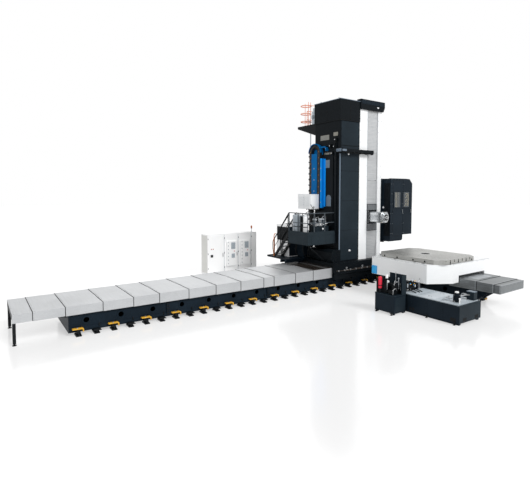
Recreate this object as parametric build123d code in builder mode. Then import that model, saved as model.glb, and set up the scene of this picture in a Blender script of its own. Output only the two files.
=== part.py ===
"""Floor type horizontal boring mill with its rotary table, tanks and cabinets, in millimetres.

X runs along the long bed, +Y points away from the table, and +Z is up. The spindle points to -Y.
The origin is on the floor, under one levelling foot on the bed's centre line, below the spindle.
"""
import os
from math import cos, pi, sin

from build123d import *

os.makedirs("parts", exist_ok=True)

# Gaps
SEAT = 0.3             # between a piece and the seat it slides on
RUNNING = 6            # between moving covers and plates

# Long bed
FOOT_PITCH = 616
FOOT_HEIGHT = 110
FOOT_LENGTH = 190
FOOT_WIDTH = 150
HOLE_PITCH = 2 * FOOT_PITCH
BED_HOLE = 300
BED_HOLE_DEPTH = 180
BED_HOLE_Z = 490
BED_WIDTH = 2240
BED_TOP = 860
BED_LEDGE = 50
BED_LEDGE_TOP = 190
CASTING_BAYS = (3, 4, 4, 4)
FIRST_JOINT = -19.5 * FOOT_PITCH
CASTING_GAP = 8
CASTING_FLANGE = 26
WAY_WIDTH = 170
WAY_HEIGHT = 70
WAY_ROWS = (-920, -320, 320, 920)
CENTRE_FEET = (-24, -16, -8, 0, 4)
BRACKET_REACH = 230
BRACKET_HEIGHT = 95
BRACKET_SHEET = 50
BRACKET_HOLE = 33

# Telescopic covers of the long bed
COVER_COUNT = 13
COVER_SHEET = 4
COVER_STEP = 9
COVER_LIP = 30
COVER_HALF_WIDTH = 1220
COVER_TOP = 1060
COVER_SKIRT = 290
COVER_SEAMS = (-17400, -16790, -15780, -14520, -13400, -12380, -11130, -9880, -8640, -7410, -6830,
               -5550, -4420, -3150)
COVER_OVERLAP = 70
STACK_PITCH = 95
STACK_LENGTH = 900
STAND_LEG = 110

# Saddle
SADDLE_LEFT = -3150
SADDLE_RIGHT = 1550
SADDLE_TOP = 1400
SADDLE_HALF_DEPTH = 1460
SKIRT_SHEET = 40
SKIRT_BOTTOM = 560
SKIRT_LEDGE_Z = 980

# Column
COLUMN_LEFT = -2520
COLUMN_RIGHT = 700
COLUMN_FRONT = -1200
COLUMN_BACK = 750
COLUMN_TOP = 8850
CAP_HEIGHT = 1110
CAP_LIP = 40
SLOT_LEFT = -440
SLOT_RIGHT = 380
PILLAR_LEFT = -1080
PILLAR_DEPTH = 200
PILLAR_TOP = 9560
WELL_WALL = 70
WELL_BACK = 670
BEAM_HEIGHT = 540
BEAM_REACH = 90
BEAM_RIGHT = 850
BEAM_BEVEL = 230

# Slatted apron of the column
APRON_SHEET = 8
APRON_GROOVE = 20
APRON_FRONT = -1172
SLAT_PITCH = 75
SLAT_STEP = 3
UPPER_LENGTH = 2300
LOWER_LENGTH = 930
HEAD_UP = 2700
HEAD_DOWN = 600

# Head, ram and spindle
SPINDLE_Z = 3720
HEAD_BOTTOM = 2950
HEAD_TOP = 4430
HEAD_FRONT = -1215
HEAD_BACK = -160
HEAD_GAP = 10
HEAD_EDGE = 10
SHOE_HEIGHT = 260
HEAD_WALL = 150
RAM_SIZE = 580
RAM_FRONT = -2050
RAM_LENGTH = 1950
RAM_CHAMFER = 40
NOSE_DIAMETER = 540
NOSE_LENGTH = 90
MILLING_DIAMETER = 400
MILLING_LENGTH = 50
BORING_DIAMETER = 200
BORING_REACH = 40
BORING_LENGTH = 1500
BORE_GAP = 0.3
TAPER_MOUTH = 107.95
TAPER_LENGTH = 162
HEAD_BOLT_CIRCLE = 480
HEAD_BOLT_HOLE = 22
HEAD_BOLTS = 8

# Rotary table
TABLE_X = 0
TABLE_Y = -4630
TABLE_TOP = 2050
TABLE_THICK = 200
TABLE_LENGTH_X = 3000
TABLE_LENGTH_Y = 3640
TABLE_CORNER = 370
TABLE_BORE = 450
TABLE_BORE_DEPTH = 80
T_SLOTS = 8
T_SLOT_PITCH = 320
T_SLOT_NECK = 36
T_SLOT_NECK_DEPTH = 36
T_SLOT_WIDE = 60
T_SLOT_DEPTH = 62
PIVOT_DIAMETER = 1600
SHELL_LEFT = -1800
SHELL_RIGHT = 2600
SHELL_FRONT = TABLE_Y - TABLE_LENGTH_Y / 2 - 100
SHELL_BACK = TABLE_Y + TABLE_LENGTH_Y / 2
SHELL_TOP = TABLE_TOP - TABLE_THICK - RUNNING
SHELL_BOTTOM = 985
SHELL_CORNER_X = 1030
SHELL_CORNER_Y = 610
SHELL_CORNER_FAR = 150
SHELL_SHEET = 30
SLIDE_FRONT = -6050
SLIDE_BACK = -3220
SLIDE_TOP = 1300
SLIDE_LEFT = -1250
SLIDE_RIGHT = 2100

# Table bed and its covers
W_BED_X = 830
W_BED_WIDTH = 1100
W_BED_FRONT = -6950
W_BED_BACK = -1680
W_BED_TOP = 700
W_BED_HOLE = 200
W_BED_HOLE_Z = 440
W_WAY_ROWS = (-380, 380)
W_SHOE_HALF = 150
W_COVER_FRONT = -8370
W_COVER_BACK = -1640
W_COVER_STEP = 12
W_COVER_SHEET = 4
W_COVER_HALF = 1060
W_COVER_TOP = 1172
W_COVER_SKIRT = 414
W_END_PLATE = 40
W_ARM_ROWS = (-400, 400)
W_ARM_SHEET = 40
NEAR_COVERS = ((W_COVER_FRONT, -7120), (-8090, -6850), (-7330, SLIDE_FRONT - SEAT))
FAR_COVERS = ((-2550, W_COVER_BACK), (-2850, -1950), (SLIDE_BACK + SEAT, -2250))

# Service platform, stair and rear console, all carried by the column
DECK_LEFT = -4450
DECK_FRONT = -900
DECK_BACK = 700
DECK_TOP = 2970
DECK_SKIRT = 600
DECK_SHEET = 40
RAIL_HEIGHT = 1050
RAIL_TUBE = 42
RAIL_POST_PITCH = 720
STAIR_WIDTH = 560
STAIR_RISE = 226
STAIR_SLOPE_RUN = 210
STRINGER_SHEET = 30
STRINGER_DEPTH = 260
CONSOLE_LEFT = -4500
CONSOLE_RIGHT = -1100
CONSOLE_TOP = 1460
CONSOLE_BACK = 2600
CONSOLE_BEAMS = (850, 1250)
CONSOLE_BEAM_DEPTH = 160
DRIVE_CABINET = (-3300, -2600, 800, 1340, 2850)
CHILLER_LEFT = -3850
CHILLER_RIGHT = -2650
CHILLER_FRONT = 1420
CHILLER_TOP = 3250

# Gas bottles in a row on the platform
BOTTLE_COUNT = 5
BOTTLE_X = -4130
BOTTLE_FIRST_Y = 570
BOTTLE_PITCH = 218
BOTTLE_DIAMETER = 195
BOTTLE_HEIGHT = 900

# Rear top platform, ladder and cage
TOP_DECK_RIGHT = -1000
TOP_DECK_BACK = 2300
TOP_DECK_Z = 8900
CAGE_X = -2250
CAGE_Y = 1880
CAGE_RADIUS = 300
CAGE_HEIGHT = 1380
CAGE_BARS = 6
CAGE_SIDES = 12
LADDER_X = -1400
LADDER_WIDTH = 420
RUNG_PITCH = 300
LIFT_MOTOR = 400

# Cable channels on the column's left side
CHANNEL_DEPTH = 200
CHANNEL_EDGE = 15
NEAR_CHANNEL = (-308, 146)
FAR_CHANNEL = (391, 830)
NEAR_CHANNEL_TOP = 6930
CHAIN_BOTTOM = 4230
CHAIN_FAR_BOTTOM = 3000
CHAIN_TOP = 7260
CHAIN_THICK = 200
CHAIN_WIDTH = 160
ARM_BOTTOM = 7190
ARM_TOP = 7350
ARM_TIP = -200
TERMINAL_LEFT = -3360
TERMINAL_FRONT = 200
TERMINAL_BACK = 1230
TERMINAL_BOTTOM = 4170
TERMINAL_TOP = 4980

# Tool magazine on the column's right side
MAGAZINE_LEFT = 880
MAGAZINE_RIGHT = 2810
MAGAZINE_FRONT = -1750
MAGAZINE_BACK = 350
MAGAZINE_TOP = 5850
MAGAZINE_BOTTOM = 2320
MAGAZINE_SPLIT = 1980
MAGAZINE_STEP = 330
MAGAZINE_CHAMFER = 260
MAGAZINE_ROUND = 140
WINDOW_WIDTH = 560
WINDOW_HEIGHT = 880
WINDOW_BOTTOM = 4220
WINDOWS = (1460, 2240)

# Units that stand on the floor
TANK_BOX = (-3300, -1760, -8380, -5600)
TANK_TOP = 750
LID_SHEET = 30
LID_GAP = 50
HYDRAULIC_BOX = (-4220, -3470, -6100, -5100)
HYDRAULIC_TOP = 800
HYDRAULIC_LEG = 70
HYDRAULIC_PANEL_TOP = 1600
CABINET_LEFT = -6800
CABINET_FRONT = 5600
CABINET_DEPTH = 850
CABINET_TOP = 2500
CABINET_PLINTH = 100
CABINET_DOORS = (1130, 1000, 970, 430)


def save(piece, name):
    """Labels one finished piece and writes its file."""
    piece.part.label = name
    export_step(piece.part, f"parts/{name}.step")


def block(x0, x1, y0, y1, z0, z1, mode=Mode.ADD):
    """A plain block between two corners, in the part that is being built."""
    with Locations(((x0 + x1) / 2, (y0 + y1) / 2, (z0 + z1) / 2)):
        Box(x1 - x0, y1 - y0, z1 - z0, mode=mode)


def drum(x, y, z0, z1, diameter, mode=Mode.ADD):
    """An upright cylinder, in the part that is being built."""
    with Locations((x, y, (z0 + z1) / 2)):
        Cylinder(diameter / 2, z1 - z0, mode=mode)


# Long bed: four castings in line, a blind cored hole in each bay, end flanges at each joint
casting_ends = [FIRST_JOINT - CASTING_BAYS[0] * HOLE_PITCH]
for bays in CASTING_BAYS:
    casting_ends.append(casting_ends[-1] + bays * HOLE_PITCH)
BED_LEFT = casting_ends[0]
BED_RIGHT = casting_ends[-1]
WAY_TOP = BED_TOP + WAY_HEIGHT


def bed_casting(number):
    """One casting: a box section with a foot ledge, thick end flanges and cored side holes."""
    left = casting_ends[number] + CASTING_GAP / 2
    right = casting_ends[number + 1] - CASTING_GAP / 2
    half = BED_WIDTH / 2
    bays = CASTING_BAYS[number]
    with BuildPart() as casting:
        with BuildSketch(Plane.YZ.offset(left)):
            with BuildLine():
                Polyline((-half - BED_LEDGE, FOOT_HEIGHT), (half + BED_LEDGE, FOOT_HEIGHT),
                         (half + BED_LEDGE, BED_LEDGE_TOP), (half, BED_LEDGE_TOP + BED_LEDGE),
                         (half, BED_TOP), (-half, BED_TOP), (-half, BED_LEDGE_TOP + BED_LEDGE),
                         (-half - BED_LEDGE, BED_LEDGE_TOP), close=True)
            make_face()
        extrude(amount=right - left)
        flange_height = BED_TOP - BED_LEDGE - FOOT_HEIGHT
        with Locations(*[(x, side * (half + BED_LEDGE / 2), FOOT_HEIGHT + flange_height / 2)
                         for x in (left + CASTING_FLANGE, right - CASTING_FLANGE) for side in (-1, 1)]):
            Box(2 * CASTING_FLANGE, BED_LEDGE, flange_height)
        hole_centres = [(casting_ends[number] + (bay + 0.5) * HOLE_PITCH, BED_HOLE_Z) for bay in range(bays)]
        for side in (-1, 1):
            with BuildSketch(Plane.XZ.offset(side * half)):
                with Locations(*hole_centres):
                    Circle(BED_HOLE / 2)
            extrude(amount=-side * BED_HOLE_DEPTH, mode=Mode.SUBTRACT)
    return casting.part


for name, numbers in (("bed_castings_outer", (0, 2)), ("bed_castings_inner", (1, 3))):
    with BuildPart() as castings:
        add([bed_casting(number) for number in numbers])
    save(castings, name)

# Levelling feet under the long bed and the table bed
foot_numbers = range(round(BED_LEFT / FOOT_PITCH + 0.5), round(BED_RIGHT / FOOT_PITCH - 0.5) + 1)
foot_row = BED_WIDTH / 2 - 25
w_foot_rows = [W_BED_FRONT + 100 + n * (W_BED_BACK - W_BED_FRONT - 200) / 8 for n in range(9)]


foot_spots = [(number * FOOT_PITCH, side * foot_row, 0) for number in foot_numbers for side in (-1, 1)]
foot_spots += [(number * FOOT_PITCH, 0, 0) for number in CENTRE_FEET]
foot_spots += [(W_BED_X + side * (W_BED_WIDTH / 2 - 120), y, 0) for y in w_foot_rows for side in (-1, 1)]
with BuildPart() as one_foot:
    with BuildSketch():
        Rectangle(FOOT_LENGTH, FOOT_WIDTH)
    extrude(amount=FOOT_HEIGHT * 0.45)
    with BuildSketch(Plane.XY.offset(FOOT_HEIGHT * 0.45)):
        Rectangle(FOOT_LENGTH * 0.66, FOOT_WIDTH * 0.66)
    extrude(amount=FOOT_HEIGHT * 0.55)
with BuildPart() as feet:
    with Locations(*foot_spots):
        add(one_foot.part)
save(feet, "levelling_feet")

# Anchor brackets beside every foot: a thick plate with a bolt hole and a toe against the bed
bracket_wall = BED_WIDTH / 2 + BED_LEDGE + SEAT
bracket_end = bracket_wall + BRACKET_REACH
with BuildPart() as one_bracket:
    with BuildSketch(Plane.YZ.offset(-FOOT_LENGTH / 2)):
        with BuildLine():
            Polyline((bracket_wall, 0), (bracket_end, 0), (bracket_end, BRACKET_SHEET - 10),
                     (bracket_wall + 90, BRACKET_SHEET), (bracket_wall + 40, BRACKET_HEIGHT),
                     (bracket_wall, BRACKET_HEIGHT), close=True)
        make_face()
    extrude(amount=FOOT_LENGTH)
    drum(0, bracket_end - 60, 0, BRACKET_SHEET, BRACKET_HOLE, mode=Mode.SUBTRACT)
with BuildPart() as brackets:
    with Locations(*[Location((number * FOOT_PITCH, 0, 0), (0, 0, turn))
                     for number in foot_numbers for turn in (0, 180)]):
        add(one_bracket.part)
save(brackets, "anchor_brackets")

# Guideways of both beds
with BuildPart() as ways:
    for y in WAY_ROWS:
        block(BED_LEFT + 40, BED_RIGHT - 40, y - WAY_WIDTH / 2, y + WAY_WIDTH / 2, BED_TOP, WAY_TOP)
    for x in W_WAY_ROWS:
        block(W_BED_X + x - WAY_WIDTH / 2, W_BED_X + x + WAY_WIDTH / 2, W_BED_FRONT + 20, W_BED_BACK - 20,
              W_BED_TOP, W_BED_TOP + WAY_HEIGHT)
save(ways, "guideways")


def roof_outline(half, top, skirt, sheet):
    """Corners of an open box cover, seen along its way: a flat roof and two skirts."""
    return ((-half, top - skirt), (-half, top), (half, top), (half, top - skirt),
            (half - sheet, top - skirt), (half - sheet, top - sheet),
            (-half + sheet, top - sheet), (-half + sheet, top - skirt))


def x_cover(left, right, number, lip_at_left):
    """Section of the long bed's cover: grows with its number, and its lip wraps the smaller one."""
    half = COVER_HALF_WIDTH + number * COVER_STEP
    top = COVER_TOP + number * COVER_STEP
    skirt = COVER_SKIRT + 2 * number * COVER_STEP
    lip = left if lip_at_left else right - COVER_LIP
    with BuildPart() as cover:
        for start, length, sheet in ((left, right - left, COVER_SHEET), (lip, COVER_LIP, COVER_STEP - SEAT)):
            with BuildSketch(Plane.YZ.offset(start)):
                with BuildLine():
                    Polyline(*roof_outline(half, top, skirt, sheet), close=True)
                make_face()
            extrude(amount=length)
    return cover.part


with BuildPart() as left_covers:
    add([x_cover(COVER_SEAMS[number],
                 min(COVER_SEAMS[number + 1] + COVER_OVERLAP, SADDLE_LEFT - SEAT), number, True)
         for number in range(COVER_COUNT)])
save(left_covers, "left_way_covers")

stack_ends = [SADDLE_RIGHT + SEAT + STACK_LENGTH + (COVER_COUNT - 1 - number) * STACK_PITCH
              for number in range(COVER_COUNT)]
with BuildPart() as right_covers:
    add([x_cover(end - STACK_LENGTH, end, number, False) for number, end in enumerate(stack_ends)])
save(right_covers, "right_way_covers")
STACK_RIGHT = stack_ends[0]

# End stands of the covers: a frame across, two legs on screw feet and a tapering arm from the bed
inner_top = COVER_TOP - COVER_SHEET - COVER_STEP + COVER_SHEET - SEAT
inner_half = COVER_HALF_WIDTH - COVER_STEP - SEAT
with BuildPart() as stands:
    for end, toward, bed_end in ((COVER_SEAMS[0], 1, BED_LEFT), (STACK_RIGHT, -1, BED_RIGHT)):
        x0, x1 = sorted((end, end + toward * STAND_LEG))
        block(x0, x1, -inner_half, inner_half, inner_top - 190, inner_top)
        for side in (-1, 1):
            y0, y1 = sorted((side * (inner_half - 40), side * (inner_half - 40 - STAND_LEG)))
            block(x0 + 5, x1 - 5, y0, y1, 60, inner_top - 190)
            drum((x0 + x1) / 2, (y0 + y1) / 2, 20, 60, 45)
            drum((x0 + x1) / 2, (y0 + y1) / 2, 0, 20, 130)
            with BuildSketch(Plane.XZ.offset(-side * 900 - 40)):
                with BuildLine():
                    Polyline((end + toward * STAND_LEG, inner_top - 120), (end + toward * STAND_LEG, inner_top),
                             (bed_end - toward * SEAT, inner_top), (bed_end - toward * SEAT, inner_top - 420),
                             close=True)
                make_face()
            extrude(amount=80)
save(stands, "cover_end_stands")

# Saddle: a low box on the guideways, and a folded skirt hung on each side
with BuildPart() as saddle:
    block(SADDLE_LEFT, SADDLE_RIGHT, -SADDLE_HALF_DEPTH, SADDLE_HALF_DEPTH, WAY_TOP, SADDLE_TOP)
save(saddle, "column_saddle")

with BuildPart() as skirts:
    for side in (-1, 1):
        face = side * SADDLE_HALF_DEPTH
        with BuildSketch(Plane.YZ.offset(SADDLE_LEFT)):
            with BuildLine():
                Polyline((face, SADDLE_TOP), (face + side * SKIRT_SHEET, SADDLE_TOP),
                         (face + side * SKIRT_SHEET, SKIRT_LEDGE_Z),
                         (face + side * 3 * SKIRT_SHEET, SKIRT_LEDGE_Z - SKIRT_SHEET),
                         (face + side * 3 * SKIRT_SHEET, SKIRT_LEDGE_Z - 3 * SKIRT_SHEET),
                         (face + side * SKIRT_SHEET, SKIRT_LEDGE_Z - 4 * SKIRT_SHEET),
                         (face + side * SKIRT_SHEET, SKIRT_BOTTOM), (face, SKIRT_BOTTOM), close=True)
            make_face()
        extrude(amount=SADDLE_RIGHT - SADDLE_LEFT)
save(skirts, "saddle_skirts")

# Column: a tall box with an open well behind the slot for the head
well_left = SLOT_LEFT - WELL_WALL
well_right = SLOT_RIGHT + WELL_WALL
pillar_back = COLUMN_FRONT + PILLAR_DEPTH
with BuildPart() as column:
    block(COLUMN_LEFT, COLUMN_RIGHT, pillar_back, COLUMN_BACK, SADDLE_TOP, COLUMN_TOP)
    block(COLUMN_LEFT, PILLAR_LEFT, COLUMN_FRONT, pillar_back, SADDLE_TOP, COLUMN_TOP)
    chamfer(column.edges().filter_by(Axis.Z).sort_by(Axis.X)[:2].sort_by(Axis.Y)[:1], 45)
    block(well_left, well_right, pillar_back, WELL_BACK, SADDLE_TOP, COLUMN_TOP, mode=Mode.SUBTRACT)
save(column, "column_body")

cap_top = COLUMN_TOP + CAP_HEIGHT
with BuildPart() as cap:
    block(COLUMN_LEFT - CAP_LIP, COLUMN_RIGHT + CAP_LIP, pillar_back, COLUMN_BACK + CAP_LIP, COLUMN_TOP,
          cap_top)
    block(COLUMN_LEFT - CAP_LIP, PILLAR_LEFT - SEAT, COLUMN_FRONT - CAP_LIP, pillar_back, COLUMN_TOP,
          cap_top)
save(cap, "column_cap")

# Guide pillars beside the slot, each with a groove for the apron plates
with BuildPart() as pillars:
    groove_front = APRON_FRONT - RUNNING
    groove_back = APRON_FRONT + 5 * (APRON_SHEET + RUNNING) + RUNNING
    for x0, x1, groove in ((PILLAR_LEFT, SLOT_LEFT, SLOT_LEFT - APRON_GROOVE), (SLOT_RIGHT, COLUMN_RIGHT, SLOT_RIGHT)):
        block(x0, x1, COLUMN_FRONT, pillar_back, SADDLE_TOP, PILLAR_TOP)
        block(groove, groove + APRON_GROOVE, groove_front, groove_back, SADDLE_TOP, PILLAR_TOP, mode=Mode.SUBTRACT)
save(pillars, "guide_pillars")

beam_top = PILLAR_TOP + BEAM_HEIGHT
with BuildPart() as beam:
    with BuildSketch(Plane.XZ.offset(-pillar_back)):
        with BuildLine():
            Polyline((PILLAR_LEFT, PILLAR_TOP), (BEAM_RIGHT - BEAM_BEVEL / 2, PILLAR_TOP),
                     (BEAM_RIGHT, PILLAR_TOP + BEAM_BEVEL), (BEAM_RIGHT, beam_top), (PILLAR_LEFT, beam_top),
                     close=True)
        make_face()
    extrude(amount=PILLAR_DEPTH + BEAM_REACH)
save(beam, "top_beam")


# Slatted apron: flat plates with stepped slats, one layer behind the other
def apron_plate(bottom, top, layer):
    """One plate: its front is a saw tooth of slats, each a little proud at its lower edge."""
    front = APRON_FRONT + layer * (APRON_SHEET + RUNNING)
    back = front + APRON_SHEET
    slats = round((top - bottom) / SLAT_PITCH)
    pitch = (top - bottom) / slats
    outline = [(back, bottom)]
    for slat in range(slats):
        outline.append((front, bottom + slat * pitch))
        outline.append((front + SLAT_STEP, bottom + (slat + 1) * pitch))
    outline.append((back, top))
    left = SLOT_LEFT - APRON_GROOVE + SEAT
    with BuildPart() as plate:
        with BuildSketch(Plane.YZ.offset(left)):
            with BuildLine():
                Polyline(*outline, close=True)
            make_face()
        extrude(amount=SLOT_RIGHT + APRON_GROOVE - SEAT - left)
    return plate.part


upper_fixed_bottom = PILLAR_TOP - UPPER_LENGTH
tunnel_bottom = SPINDLE_Z - RAM_SIZE / 2 - HEAD_WALL
tunnel_top = SPINDLE_Z + RAM_SIZE / 2 + HEAD_WALL
upper_head_bottom = tunnel_top + SEAT
upper_middle_bottom = (upper_fixed_bottom + upper_head_bottom) / 2
lower_fixed_top = SADDLE_TOP + LOWER_LENGTH
lower_head_top = tunnel_bottom - SEAT
lower_span = lower_head_top - LOWER_LENGTH - SADDLE_TOP

with BuildPart() as fixed_apron:
    add(apron_plate(upper_fixed_bottom, PILLAR_TOP - SEAT, 0))
    add(apron_plate(SADDLE_TOP + SEAT, lower_fixed_top, 4))
save(fixed_apron, "apron_fixed_plates")
with BuildPart() as middle_apron:
    add(apron_plate(upper_middle_bottom, upper_middle_bottom + UPPER_LENGTH, 1))
save(middle_apron, "apron_upper_plate")
for layer, share in ((1, 0.75), (2, 0.5), (3, 0.25)):
    with BuildPart() as lower_apron:
        start = SADDLE_TOP + share * lower_span
        add(apron_plate(start, start + LOWER_LENGTH, layer))
    save(lower_apron, f"apron_lower_plate_{layer}")

# Head: a block in the slot with a square tunnel for the ram
with BuildPart() as head:
    left = SLOT_LEFT + HEAD_GAP
    right = SLOT_RIGHT - HEAD_GAP
    block(left, right, HEAD_FRONT, APRON_FRONT - RUNNING, HEAD_BOTTOM, HEAD_TOP)
    chamfer(head.edges().filter_by(Axis.X).sort_by(Axis.Y)[:2], HEAD_EDGE)
    block(left, right, APRON_FRONT - RUNNING, HEAD_BACK, tunnel_bottom, tunnel_top)
    for z in (tunnel_bottom, tunnel_top - SHOE_HEIGHT):
        block(SLOT_LEFT + SEAT, SLOT_RIGHT - SEAT, groove_back + RUNNING, pillar_back - RUNNING, z, z + SHOE_HEIGHT)
    ram_hole = RAM_SIZE / 2 + SEAT
    block(-ram_hole, ram_hole, HEAD_FRONT, HEAD_BACK, SPINDLE_Z - ram_hole, SPINDLE_Z + ram_hole,
          mode=Mode.SUBTRACT)
save(head, "head_slide")

with BuildPart() as head_apron:
    add(apron_plate(upper_head_bottom, upper_head_bottom + UPPER_LENGTH, 2))
    add(apron_plate(lower_head_top - LOWER_LENGTH, lower_head_top, 0))
save(head_apron, "apron_head_plates")

# Ram: a square bar with chamfered corners, a round nose and a bore for the spindles
nose_front = RAM_FRONT - NOSE_LENGTH
with BuildPart() as ram:
    with BuildSketch(Plane.XZ.offset(-RAM_FRONT)):
        with Locations((0, SPINDLE_Z)):
            Rectangle(RAM_SIZE, RAM_SIZE)
    extrude(amount=-RAM_LENGTH)
    chamfer(ram.edges().filter_by(Axis.Y), RAM_CHAMFER)
    with BuildSketch(Plane.XZ.offset(-RAM_FRONT)):
        with Locations((0, SPINDLE_Z)):
            Circle(NOSE_DIAMETER / 2)
    extrude(amount=NOSE_LENGTH)
    with BuildSketch(Plane.XZ.offset(-nose_front)):
        with Locations((0, SPINDLE_Z)):
            Circle(MILLING_DIAMETER / 2 + BORE_GAP)
    extrude(amount=-NOSE_LENGTH - 60, mode=Mode.SUBTRACT)
    with BuildSketch(Plane.XZ.offset(-nose_front)):
        with Locations((0, SPINDLE_Z)):
            Circle(BORING_DIAMETER / 2 + 20)
    extrude(amount=-BORING_LENGTH - 200, mode=Mode.SUBTRACT)
    with BuildSketch(Plane.XZ.offset(-nose_front)):
        with Locations((0, SPINDLE_Z)):
            with PolarLocations(HEAD_BOLT_CIRCLE / 2, HEAD_BOLTS, start_angle=22.5):
                Circle(HEAD_BOLT_HOLE / 2)
    extrude(amount=-60, mode=Mode.SUBTRACT)
save(ram, "ram")

with BuildPart() as milling_spindle:
    with BuildSketch(Plane.XZ.offset(-nose_front + MILLING_LENGTH)):
        with Locations((0, SPINDLE_Z)):
            Circle(MILLING_DIAMETER / 2)
            Circle(BORING_DIAMETER / 2 + BORE_GAP, mode=Mode.SUBTRACT)
    extrude(amount=-MILLING_LENGTH - NOSE_LENGTH - 60 + SEAT)
save(milling_spindle, "milling_spindle")

with BuildPart() as boring_spindle:
    front = nose_front - MILLING_LENGTH - BORING_REACH
    with BuildSketch(Plane.XZ.offset(-front)):
        with Locations((0, SPINDLE_Z)):
            Circle(BORING_DIAMETER / 2)
    extrude(amount=-BORING_LENGTH)
    with BuildSketch(Plane.YZ) as taper:
        with BuildLine():
            Polyline((front, SPINDLE_Z), (front, SPINDLE_Z + TAPER_MOUTH / 2),
                     (front + TAPER_LENGTH, SPINDLE_Z + TAPER_MOUTH / 2 - TAPER_LENGTH * 7 / 48),
                     (front + TAPER_LENGTH, SPINDLE_Z), close=True)
        make_face()
    revolve(axis=Axis((0, 0, SPINDLE_Z), (0, 1, 0)), mode=Mode.SUBTRACT)
save(boring_spindle, "boring_spindle")


# Rotary table: plate with T slots and a centring bore, on a turntable boss
table_front = TABLE_Y - TABLE_LENGTH_Y / 2
with BuildPart() as table:
    with BuildSketch(Plane.XY.offset(TABLE_TOP - TABLE_THICK)):
        with Locations((TABLE_X, TABLE_Y)):
            Rectangle(TABLE_LENGTH_X, TABLE_LENGTH_Y)
        chamfer(vertices(), TABLE_CORNER)
    extrude(amount=TABLE_THICK)
    drum(TABLE_X, TABLE_Y, TABLE_TOP - TABLE_BORE_DEPTH, TABLE_TOP, TABLE_BORE, mode=Mode.SUBTRACT)
    for slot in range(T_SLOTS):
        x = TABLE_X + (slot - (T_SLOTS - 1) / 2) * T_SLOT_PITCH
        with BuildSketch(Plane.XZ.offset(-table_front)):
            with BuildLine():
                Polyline((x - T_SLOT_NECK / 2, TABLE_TOP), (x - T_SLOT_NECK / 2, TABLE_TOP - T_SLOT_NECK_DEPTH),
                         (x - T_SLOT_WIDE / 2, TABLE_TOP - T_SLOT_NECK_DEPTH),
                         (x - T_SLOT_WIDE / 2, TABLE_TOP - T_SLOT_DEPTH),
                         (x + T_SLOT_WIDE / 2, TABLE_TOP - T_SLOT_DEPTH),
                         (x + T_SLOT_WIDE / 2, TABLE_TOP - T_SLOT_NECK_DEPTH),
                         (x + T_SLOT_NECK / 2, TABLE_TOP - T_SLOT_NECK_DEPTH),
                         (x + T_SLOT_NECK / 2, TABLE_TOP), close=True)
            make_face()
        extrude(amount=-TABLE_LENGTH_Y, mode=Mode.SUBTRACT)
    drum(TABLE_X, TABLE_Y, SLIDE_TOP + SEAT, TABLE_TOP - TABLE_THICK, PIVOT_DIAMETER)
save(table, "table_plate")

# Table slide: rests on the table bed's guideways and carries the turntable
with BuildPart() as slide:
    block(SLIDE_LEFT, SLIDE_RIGHT, SLIDE_FRONT, SLIDE_BACK, SHELL_BOTTOM, SLIDE_TOP)
    for x in W_WAY_ROWS:
        block(W_BED_X + x - W_SHOE_HALF, W_BED_X + x + W_SHOE_HALF, SLIDE_FRONT, SLIDE_BACK, W_BED_TOP + WAY_HEIGHT, SHELL_BOTTOM)
save(slide, "table_slide")

# Guard round the table slide: a ring of sheet with canted near corners and an inward top rim
with BuildPart() as guard:
    with BuildSketch(Plane.XY.offset(SHELL_BOTTOM)) as guard_outline:
        with BuildLine():
            Polyline((SHELL_LEFT, SHELL_BACK), (SHELL_LEFT, SHELL_FRONT + SHELL_CORNER_Y),
                     (SHELL_LEFT + SHELL_CORNER_X, SHELL_FRONT), (SHELL_RIGHT - SHELL_CORNER_FAR, SHELL_FRONT),
                     (SHELL_RIGHT, SHELL_FRONT + SHELL_CORNER_FAR), (SHELL_RIGHT, SHELL_BACK), close=True)
        make_face()
        offset(amount=-SHELL_SHEET, mode=Mode.SUBTRACT)
    extrude(amount=SHELL_TOP - SHELL_BOTTOM)
    with BuildSketch(Plane.XY.offset(SHELL_TOP - SHELL_SHEET)):
        with BuildLine():
            Polyline((SHELL_LEFT, SHELL_BACK), (SHELL_LEFT, SHELL_FRONT + SHELL_CORNER_Y),
                     (SHELL_LEFT + SHELL_CORNER_X, SHELL_FRONT), (SHELL_RIGHT - SHELL_CORNER_FAR, SHELL_FRONT),
                     (SHELL_RIGHT, SHELL_FRONT + SHELL_CORNER_FAR), (SHELL_RIGHT, SHELL_BACK), close=True)
        make_face()
        with Locations((TABLE_X, TABLE_Y)):
            Circle(PIVOT_DIAMETER / 2 + 40, mode=Mode.SUBTRACT)
    extrude(amount=SHELL_SHEET)
    cut = W_COVER_HALF + 40
    block(W_BED_X - cut, W_BED_X + cut, SHELL_FRONT - 50, SHELL_BACK + 50, SHELL_BOTTOM, SLIDE_TOP,
          mode=Mode.SUBTRACT)
    for x0, x1 in ((SHELL_LEFT + SHELL_SHEET, SLIDE_LEFT), (SLIDE_RIGHT, SHELL_RIGHT - SHELL_SHEET)):
        for y in (SLIDE_FRONT + 600, SLIDE_BACK - 500):
            block(x0, x1, y, y + 40, SHELL_BOTTOM + 40, SLIDE_TOP - 40)
save(guard, "table_guard")

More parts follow.
